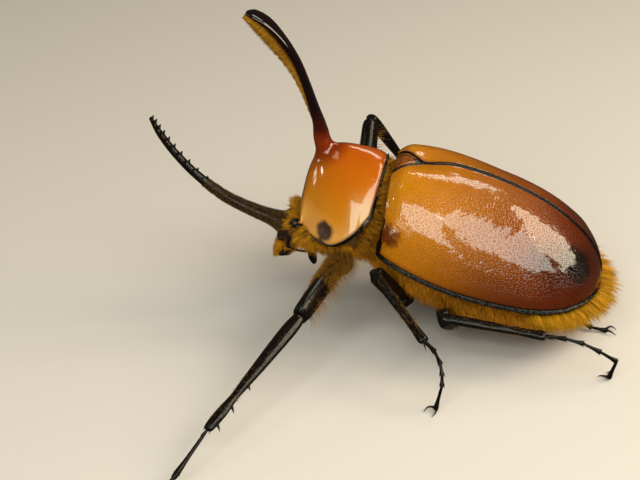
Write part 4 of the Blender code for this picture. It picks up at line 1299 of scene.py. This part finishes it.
HORN_BRUSH = [
    # x, y, z of the middle of the brush's root, half-width, hair length
    (0, -13.9, 14.3, 0.45, 0.5),
    (0, -15.6, 17.4, 0.6, 0.8),
    (0, -17.5, 20.8, 0.75, 1.2),
    (0, -19.9, 24.4, 0.9, 2.0),
    (0, -22.7, 27.3, 1.2, 2.6),
    (0, -25.4, 29.5, 1.5, 2.4),
    (0, -27.6, 30.5, 1.4, 1.6),
    (0, -29.1, 30.7, 0.7, 0.9),
]


def make_horn_brush(finish):
    """The dense brush on the front of the thorax horn, its edge gathered in small locks."""
    brush = Coat(SEED + 8, 3)
    draw = brush.draw
    for _ in range(BRUSH_HAIRS):
        share = draw.random() ** 0.85
        x, y, z, wide, length = smooth_path(HORN_BRUSH, share)
        ahead = Vector(smooth_path(HORN_BRUSH, share + 0.02)[:3])
        along = (ahead - Vector((x, y, z))).normalized() if share < 0.98 else Vector((0, -1, 0))
        forward = Vector((1, 0, 0)).cross(along).normalized()
        forward = forward if forward.z < 0 else -forward
        across = draw.uniform(-1, 1)
        lock = math.sin(share * 150 + across * 1.5)
        root = Vector((across * wide, y, z)) - forward * 0.15
        lie = (forward + along * (0.30 + 0.10 * lock) + Vector((0.22 * across, 0, 0))
               + spread(draw, 0.06))
        reach = length * (0.86 + 0.14 * lock) * draw.uniform(0.86, 1.0) * (1 - 0.25 * across ** 2)
        brush.add(root, lie, along * 0.10, reach, 0.04, (share * UNWRAP, (across + 1) * 0.48))
    brush.grow("horn_brush", finish, BODY, ["thorax_horn_brush"])


def make_head_hair(finish):
    """A tuft behind the head horn, a beard, and long hair under the neck."""
    tuft = Coat(SEED + 9, 3)
    draw = tuft.draw
    for _ in range(NAPE_LOCKS):
        turn = draw.uniform(-0.1, math.pi + 0.1)
        y = draw.uniform(-14.4, -12.6)
        root = (3.2 * math.cos(turn), y, -3.4 + 2.2 * math.sin(turn))
        lie = Vector((0.45 * math.cos(turn), -0.65, 0.65 * math.sin(turn) + 0.15)) + spread(draw, 0.25)
        tuft.tuft(root, lie, (0, -0.1, -0.1), draw.uniform(1.1, 2.4), FINE_HAIR_RADIUS,
                  ((y + 14.6) * 0.45, patch_at(0, turn)[1]))
    for _ in range(BEARD_LOCKS):
        turn = -draw.uniform(0.2, math.pi - 0.2)
        y = draw.uniform(-14.0, -12.6)
        root = (3.4 * math.cos(turn), y, -5.6 + 3.0 * math.sin(turn))
        lie = Vector((0.5 * math.cos(turn), -0.45, 0.6 * math.sin(turn))) + spread(draw, 0.25)
        tuft.tuft(root, lie, (0, -0.1, -0.2), draw.uniform(0.7, 1.5), FINE_HAIR_RADIUS,
                  ((y + 14.6) * 0.45, patch_at(0, turn)[1]), LOCK_HAIRS - 1)
    for _ in range(NECK_LOCKS):
        y = draw.uniform(-12.6, -8.6)
        turn = draw.choice((-1, 1)) * draw.uniform(0.7, 1.75) - math.pi / 2
        tuft.skin_lock(y, turn, 0.8, (0, -0.25, -0.6), 0.25, (0, -0.1, -0.2), (1.2, 2.4),
                       radius=FINE_HAIR_RADIUS)
    tuft.grow("head_hair", finish, BODY)


def make_mouth_hair(finish):
    """The brush under the mouth."""
    brush = Coat(SEED + 10, 3)
    draw = brush.draw
    for _ in range(MOUTH_HAIRS):
        across, up = draw.uniform(-1, 1), draw.uniform(-1, 1)
        root = (2.0 * across, -14.9, -8.5 + 0.9 * up)
        lie = Vector((0.35 * across, -0.8, -0.35 + 0.3 * up)) + spread(draw, 0.14)
        brush.add(root, lie, (0, 0, -0.2), draw.uniform(1.2, 2.0), 0.05,
                  ((across + 1) * 0.48, (up + 1) * 0.48))
    brush.grow("mouth_hair", finish, BODY, ["mouth_brush"])


def make_horn_base_hair(finish):
    """Short dull hair all round the base of the head horn."""
    fuzz = Coat(SEED + 11, 2)
    draw = fuzz.draw
    place = limb_place(HEAD_HORN, (1, 0, 0))
    for _ in range(HORN_BASE_HAIRS):
        share = 0.03 + 0.60 * draw.random() ** 1.15
        turn = draw.uniform(0, 2 * math.pi)
        root = place(share, turn, True)
        centre = place(share, turn, False)
        ahead = place(share + 0.02, turn, False)
        lie = (root - centre).normalized() * 0.5 + (ahead - centre).normalized() + spread(draw, 0.2)
        fuzz.add(root, lie, (0, 0, 0), draw.uniform(0.25, 0.5), 0.03, patch_at(share, turn))
    fuzz.grow("horn_base_hair", finish, BODY)


# ---------------------------------------------------------------- legs

# Hip, knee and ankle, then the ends of the five tarsal segments, in the standing frame
LEGS = {
    "front_left": ((6.8, -4.8, 14.4), (25.0, -9.6, 12.2), (48.0, -19.6, 5.4),
                   ((57.0, -22.8, 2.6), (60.5, -24.6, 1.7), (63.5, -26.4, 1.1), (66.3, -28.3, 0.8),
                    (70.3, -31.2, 0.35))),
    "front_right": ((-9.4, -4.6, 11.9), (-23.0, -4.7, 25.4), (-37.5, 2.4, 6.4),
                    ((-46.2, 4.2, 3.9), (-49.9, 4.8, 2.6), (-53.1, 5.1, 1.5), (-56.1, 5.2, 0.9),
                     (-60.6, 4.8, 0.35))),
    "middle_left": ((9.8, 5.4, 7.9), (14.8, 1.0, 15.8), (24.0, 10.5, 9.2),
                    ((25.8, 12.3, 8.7), (27.2, 13.4, 7.4), (28.1, 13.8, 5.9), (28.7, 13.9, 4.3),
                     (29.6, 13.1, 0.35))),
    "middle_right": ((-9.8, 5.4, 7.9), (-15.0, 1.6, 15.4), (-24.3, 11.4, 8.8),
                     ((-26.0, 13.2, 8.2), (-27.5, 14.3, 7.0), (-28.4, 14.9, 5.6), (-29.0, 15.2, 4.1),
                      (-29.8, 15.0, 0.35))),
    "hind_left": ((9.8, 14.0, 4.9), (18.0, 12.7, 10.3), (16.5, 29.3, 7.5),
                  ((17.1, 32.6, 7.7), (17.3, 35.4, 7.2), (17.3, 38.2, 5.9), (17.0, 40.9, 4.2),
                   (16.0, 39.9, 0.35))),
    "hind_right": ((-9.8, 13.6, 4.9), (-16.9, 15.3, 9.0), (-6.4, 27.3, 3.2),
                   ((-4.0, 29.8, 2.4), (-1.7, 32.2, 1.6), (0.1, 34.4, 1.1), (1.5, 36.6, 0.8),
                    (1.4, 39.2, 0.35))),
}
HIPS = {
    # centre and radii of the left hip piece, in the body frame
    "front": ((4.7, -4.6, -7.0), (2.7, 1.9, 2.0)),
    "middle": ((5.4, 6.8, -9.9), (2.6, 1.9, 1.3)),
    "hind": ((5.8, 14.6, -9.9), (3.4, 1.9, 1.3)),
}
FEMUR_SHAPE = ((0.0, 0.45), (0.06, 0.72), (0.28, 0.95), (0.62, 1.0), (0.88, 0.97), (0.97, 0.86), (1.0, 0.55))
TIBIA_SHAPES = {
    # share of the length, half-width
    "front": ((0.0, 0.75), (0.025, 1.12), (0.13, 1.30), (0.35, 1.15), (0.6, 0.85), (0.72, 0.68),
              (0.86, 0.92), (0.98, 0.80), (1.0, 0.5)),
    "middle": ((0.0, 0.6), (0.03, 0.85), (0.13, 0.98), (0.45, 0.85), (0.75, 0.75), (0.97, 0.92), (1.0, 0.6)),
    "hind": ((0.0, 0.6), (0.03, 0.9), (0.13, 1.05), (0.45, 0.95), (0.75, 0.8), (0.97, 0.98), (1.0, 0.6)),
}
LEG_SIZES = {
    # femur half-width and half-thickness, tarsus radius
    "front": (2.0, 1.5, 0.5),
    "middle": (1.5, 1.0, 0.42),
    "hind": (1.7, 1.1, 0.42),
}
SEGMENT_SHAPE = ((0.0, 0.42), (0.10, 0.60), (0.55, 0.72), (0.86, 1.06), (0.97, 0.92), (1.0, 0.5))
SEGMENT_SPINES = (-2.5, -1.8, -1.3, -0.6, 0.9, 2.2)     # turns round the end of a tarsal segment
FRONT_THORNS = ((0.60, 1.3), (0.78, 1.6), (0.93, 1.7))  # share of the shin and length
SHIN_SPINE_ROWS = (0.42, 0.70)                          # on the middle and hind shins
SHIN_SPINES = (0.3, 1.4, 2.6, 4.2)                      # turns round the shin
CLAW_LENGTH = 1.9
CLAW_HEIGHT = 0.42
HIP_BOW = 0.25
FRINGE_FULLNESS = {"front": 1.0, "middle": 0.15, "hind": 0.15}
FRINGE_HAIRS = 1200         # at full fullness, in front of the thigh
HIND_FRINGE_HAIRS = 430     # and behind it
THIGH_MAT_HAIRS = 3000      # on the front thighs only
SHIN_HAIRS = 260


def around(turn, across, up):
    """The direction at turn, counted from across towards up."""
    return across * math.cos(turn) + up * math.sin(turn)


def thorn(root, lean, bend, length, radius):
    """A curved spine: it leaves root along lean and curves towards bend."""
    root, lean, bend = Vector(root), Vector(lean).normalized(), Vector(bend)
    stations = []
    for share in (0.0, 0.35, 0.7, 1.0):
        centre = root + lean * length * share + bend * length * share ** 2
        stations.append((*centre, radius * (1.02 - share), radius * (1.02 - share)))
    return limb(stations, side=lean.cross((0.3, 0.5, 0.8)), rings=10, sides=10)


def make_femur(leg, row, side, finish):
    """The thigh, with a groove for the folded shin, and the ball that it turns on."""
    hip, knee, _, _ = LEGS[leg]
    hip, knee = Vector(hip), Vector(knee)
    thigh = (knee - hip).normalized()
    wide, thick, _ = LEG_SIZES[row]
    start, end = hip - thigh * 0.4, knee - thigh * 0.35
    stations = [(*start.lerp(end, share), wide * full, thick * full) for share, full in FEMUR_SHAPE]

    def relief(share, turn):
        groove = -0.10 * math.exp(-((math.cos(turn) + 0.75) / 0.2) ** 2) * smoothstep(0.55, 0.9, share)
        return groove + 0.03 * math.cos(4 * turn)
    femur = limb(stations, (0, 0, 1), 60, 40, relief)
    joint = ball(hip, (1.25, 1.25, 1.15), 24, 16)
    settle(joined([femur, joint]), f"{row}_{side}_thigh", finish, STANDING,
           [f"{row}_femur_{side}"], 60)


def make_tibia(leg, row, side, finish):
    """The shin, ridged along its length, with thorns or spines, and short spurs round its end."""
    _, knee, ankle, _ = LEGS[leg]
    knee, ankle = Vector(knee), Vector(ankle)
    shin = (ankle - knee).normalized()
    start, end = knee - shin * 0.35, ankle - shin * 0.1
    stations = [(*start.lerp(end, share), radius, 0.78 * radius) for share, radius in TIBIA_SHAPES[row]]
    flat_side = shin.cross(Vector((0, 0, 1))).normalized()
    crest = flat_side.cross(shin)

    def relief(share, turn):
        ridges = 0.05 * math.cos(4 * turn) * smoothstep(0.05, 0.25, share)
        notches = 0.025 * math.sin(share * 40) * math.cos(3 * turn) * smoothstep(0.3, 0.6, share)
        return ridges + notches
    pieces = [limb(stations, flat_side, 90, 40, relief)]
    hind_side = flat_side if flat_side.y > 0 else -flat_side
    lower = Vector((0, 0, -0.3))
    if row == "front":
        for share, length in FRONT_THORNS:
            root = start.lerp(end, share) + hind_side * 0.25
            pieces.append(thorn(root, hind_side + shin * 0.35 + lower, shin * 0.35, length, 0.42))
        pieces.append(thorn(end, shin - hind_side * 0.5 + lower, shin * 0.1, 1.4, 0.2))
    else:
        for sign in (-1, 1):
            pieces.append(thorn(end - shin * 0.3, shin + hind_side * 0.45 * sign, shin * 0.1, 2.2, 0.24))
        for share in SHIN_SPINE_ROWS:
            for turn in SHIN_SPINES:
                outward = around(turn, flat_side, crest).normalized()
                root = start.lerp(end, share) + outward * 0.45
                pieces.append(thorn(root, outward * 0.8 + shin, shin * 0.1, 0.95, 0.13))
    for spur in range(6):
        outward = around(spur * math.pi / 3, flat_side, crest).normalized()
        pieces.append(thorn(end - shin * 0.25 + outward * 0.45, shin + outward * 0.4, (0, 0, 0), 0.75, 0.10))
    settle(joined(pieces), f"{row}_{side}_shin", finish, STANDING, [f"{row}_tibia_{side}"], 60)


def make_foot(leg, row, side, finish):
    """Five tarsal segments, each narrow at its start and flared at its end, and two curved claws."""
    _, _, ankle, toes = LEGS[leg]
    radius = LEG_SIZES[row][2]
    start = Vector(ankle)
    pieces = []
    for toe in toes:
        end = Vector(toe)
        ahead = (end - start).normalized()
        reach = end + ahead * 0.12
        stations = [(*start.lerp(reach, share), radius * full, radius * full * 0.9)
                    for share, full in SEGMENT_SHAPE]
        pieces.append(limb(stations, (0.3, 0.4, 1.0), 24, 20))
        beside = ahead.cross(Vector((0, 0, 1))).normalized()
        above = beside.cross(ahead)
        if toe is not toes[-1]:
            for turn in SEGMENT_SPINES:
                outward = around(turn, beside, above)
                root = start.lerp(end, 0.86) + outward * radius * 0.75
                pieces.append(thorn(root, ahead + outward * 0.45, ahead * 0.05, 0.75, 0.07))
        start = end
    tip = Vector(toes[-1])
    ahead = ((tip - Vector(toes[-2])) * Vector((1, 1, 0))).normalized()
    beside = ahead.cross(Vector((0, 0, 1)))
    root = tip - ahead * 0.3
    for hand in (1, -1):
        stations = []
        for reach in (0.0, 0.25, 0.5, 0.75, 1.0):
            centre = root + ahead * CLAW_LENGTH * reach + beside * hand * math.sin(reach * 2.0)
            centre.z = CLAW_HEIGHT + 0.35 * math.sin(reach * math.pi) - 0.32 * reach ** 2
            stations.append((*centre, 0.27 * (1.0 - 0.85 * reach), 0.24 * (1.0 - 0.85 * reach)))
        pieces.append(limb(stations, (0, 0, 1), 20, 14))
    foot = joined(pieces)
    for vert in foot.data.vertices:
        vert.co.z = max(vert.co.z, 0.0)
    settle(foot, f"{row}_{side}_foot", finish, STANDING, [f"{row}_tarsus_{side}"], 60)


def make_hip(row, side, hand, finish):
    """The hip piece under the body, bowed backwards in its middle."""
    centre, radii = HIPS[row]
    hip = ball((hand * centre[0], centre[1], centre[2]), radii, 36, 24)
    for vert in hip.data.vertices:
        across = (vert.co.x - hand * centre[0]) / radii[0]
        vert.co.y += HIP_BOW * math.cos(across * 3.0)
    settle(hip, f"{row}_{side}_hip", finish, BODY, [f"{row}_coxa_{side}"])


def make_leg_hair(leg, row, side, finish):
    """A fringe in front of the thigh and one behind and below it, short hair all round the shin, and on
    the front legs a mat over the thigh's upper faces. The middle and hind fringes are thin and short."""
    hip, knee, ankle = (Vector(place) for place in LEGS[leg][:3])
    thigh, shin = (knee - hip).normalized(), (ankle - knee).normalized()
    above = (Vector((0, 0, 1)) - thigh * thigh.z).normalized()
    ahead = thigh.cross(above)
    ahead = ahead if ahead.y < 0 else -ahead
    wide, thick, _ = LEG_SIZES[row]
    full = FRINGE_FULLNESS[row]
    coat = Coat(SEED + sum(map(ord, leg)), 3)
    draw = coat.draw

    def thigh_hair(share, turn, depth, stand, lean, stray, droop, lengths, fullness, radius):
        """A hair rooted at depth, a share of the thigh's radius; it stands out and leans to the knee."""
        outward = around(turn, ahead, above)
        root = hip.lerp(knee, share) + around(turn, ahead * thick * depth, above * wide * depth)
        lie = outward * stand + thigh * lean + spread(draw, stray)
        coat.add(root, lie, droop, draw.uniform(*lengths) * fullness, radius, patch_at(share, turn))

    for _ in range(int(FRINGE_HAIRS * full)):
        share = 0.78 * draw.random() ** 1.25
        thigh_hair(share, draw.gauss(0.1, 0.4), 0.85, 1.0, 0.55, 0.16, thigh * 0.15,
                   (0.7, 1.6), (0.6 + 0.4 * full) * (1.1 - share), 0.027)
    for _ in range(int(HIND_FRINGE_HAIRS * full)):
        share = 0.9 * draw.random() ** 1.6
        thigh_hair(share, draw.gauss(math.pi + 0.45, 0.5), 0.85, 1.0, 0.35, 0.14,
                   thigh * 0.12 + Vector((0, 0, -0.15)), (0.8, 3.0), full, 0.024)
    for _ in range(THIGH_MAT_HAIRS if row == "front" else 0):
        share = 0.02 + 0.50 * draw.random() ** 1.1
        thigh_hair(share, draw.uniform(-0.5, math.pi + 0.3), 0.9, 0.5, 1.0, 0.14, thigh * 0.1,
                   (0.9, 1.7), 1.0, 0.030)
    for _ in range(SHIN_HAIRS):
        share = draw.uniform(0.05, 0.9)
        outward = spread(draw, 1.0).normalized()
        outward = (outward - shin * outward.dot(shin)).normalized()
        coat.add(knee.lerp(ankle, share) + outward * 0.5, outward * 0.7 + shin, shin * 0.05,
                 draw.uniform(0.6, 1.1), 0.03, (share * UNWRAP, 0.5))
    coat.grow(f"{row}_{side}_leg_hair", finish, STANDING)


# ---------------------------------------------------------------- stage

def direction(azimuth, elevation):
    """Unit vector; azimuth is counted from +X towards +Y, in degrees."""
    turn, rise = math.radians(azimuth), math.radians(elevation)
    return Vector((math.cos(turn) * math.cos(rise), math.sin(turn) * math.cos(rise), math.sin(rise)))


LAMP_AIM = Vector((0, 0, 0.02))


def add_softbox(name, azimuth, elevation, distance, width, height, power_watts, colour):
    """A soft rectangular lamp that faces the middle of the beetle."""
    deselect()
    away = direction(azimuth, elevation)
    bpy.ops.object.light_add(type="AREA", location=away * distance + LAMP_AIM,
                             rotation=away.to_track_quat("Z", "Y").to_euler())
    lamp = bpy.context.object
    lamp.name = name
    lamp.data.shape = "RECTANGLE"
    lamp.data.size = width
    lamp.data.size_y = height
    lamp.data.energy = power_watts
    lamp.data.color = colour


NEUTRAL = (0.94, 1.0, 0.88)
WARM = (1.0, 0.86, 0.62)
FLOOR_COLOUR = (0.74, 0.67, 0.64, 1.0)
AMBIENT_COLOUR = (1.0, 0.88, 0.72, 1.0)
KEY_DISTANCE = 0.36
KEY_PANELS = (
    # azimuth, elevation, width, height, power per square metre, colour
    (-6, 37, 0.215, 0.25, 13.5, NEUTRAL),
    (50, 45, 0.27, 0.165, 13.5, NEUTRAL),
    (103, 39, 0.20, 0.20, 21.0, WARM),
)
LAMPS = (
    # name, azimuth, elevation, distance, width, height, power, colour
    ("back_strip", 160, 50, 0.45, 0.20, 0.07, 0.22, NEUTRAL),
    ("front_lamp", -88, 28, 0.45, 0.045, 0.03, 0.06, NEUTRAL),
    ("low_front_lamp", -100, 12, 0.45, 0.10, 0.05, 0.08, NEUTRAL),
    ("overhead_fill", -100, 66, 0.50, 0.12, 0.12, 0.10, WARM),
    ("side_fill", -30, 16, 0.50, 0.12, 0.12, 0.1, WARM),
)


def make_stage():
    """A plain pale floor, a dim warm room, and soft lamps."""
    deselect()
    bpy.ops.mesh.primitive_plane_add(size=4.0)
    floor = bpy.context.object
    floor.name = "studio_floor"
    pale = bpy.data.materials.new("pale_floor")
    pale.use_nodes = True
    shader = pale.node_tree.nodes["Principled BSDF"]
    shader.inputs["Base Color"].default_value = FLOOR_COLOUR
    shader.inputs["Roughness"].default_value = 0.75
    floor.data.materials.append(pale)
    floor.visible_glossy = False

    world = bpy.data.worlds.new("studio")
    world.use_nodes = True
    background = world.node_tree.nodes["Background"]
    background.inputs["Color"].default_value = AMBIENT_COLOUR
    background.inputs["Strength"].default_value = 0.05
    bpy.context.scene.world = world
    bpy.context.scene.view_settings.view_transform = "Standard"

    for number, (azimuth, elevation, width, height, strength, colour) in enumerate(KEY_PANELS):
        add_softbox(f"key_panel_{number}", azimuth, elevation, KEY_DISTANCE, width, height,
                    strength * width * height, colour)
    for lamp in LAMPS:
        add_softbox(*lamp)


CAMERA_AZIMUTH = 99.26      # degrees from the beetle's front, round its left side
CAMERA_ELEVATION = 28.91
CAMERA_PLACE = Vector((267.5 - CENTRE_X, 33.4 - CENTRE_Y, 162.4)) * MM
VIEW_WIDTH = math.radians(20)


def make_camera():
    camera = bpy.data.cameras.new("camera")
    camera.sensor_width = 36.0
    camera.lens = camera.sensor_width / 2 / math.tan(VIEW_WIDTH / 2)
    camera.clip_start = 0.01
    stand = bpy.data.objects.new("camera", camera)
    bpy.context.scene.collection.objects.link(stand)
    turn, dip = math.radians(CAMERA_AZIMUTH), math.radians(CAMERA_ELEVATION)
    look = Vector((-math.sin(turn) * math.cos(dip), math.cos(turn) * math.cos(dip), -math.sin(dip)))
    stand.location = CAMERA_PLACE
    stand.rotation_euler = look.to_track_quat("-Z", "Y").to_euler()
    bpy.context.scene.camera = stand


# ---------------------------------------------------------------- the whole beetle

def main():
    """Makes every piece, then the camera, floor and lamps."""
    finishes = {
        "case": wing_case_chitin(),
        "case_edge": case_edge_chitin(),
        "pronotum": pronotum_chitin(),
        "shield": shield_chitin(),
        **{key: black_chitin(*row) for key, row in DARK_CHITINS.items()},
        "head": head_chitin(),
        "eye": eye_surface(),
        "skin": skin_finish(),
        **{key: hair_finish(*row) for key, row in HAIR_COATS.items()},
    }
    for side, hand in (("left", 1), ("right", -1)):
        make_wing_case(side, hand, finishes["case"], finishes["case_edge"])
    make_scutellum(finishes["shield"])
    make_pronotum_with_horn(finishes["pronotum"])
    make_head_horn(finishes["horn"])
    make_head(finishes["head"])
    make_face(finishes)
    make_skin(finishes["skin"])
    make_body_coats(finishes["coat"], finishes["collar"])
    make_tail_hair(finishes["tail"])
    make_horn_brush(finishes["brush"])
    make_head_hair(finishes["head_coat"])
    make_mouth_hair(finishes["mouth"])
    make_horn_base_hair(finishes["dull"])
    for leg in LEGS:
        row, side = leg.split("_")
        make_hip(row, side, 1 if side == "left" else -1, finishes["leg"])
        make_femur(leg, row, side, finishes["leg"])
        make_tibia(leg, row, side, finishes["leg"])
        make_foot(leg, row, side, finishes["leg"])
        make_leg_hair(leg, row, side, finishes["leg_coat"])
    make_camera()
    make_stage()


main()
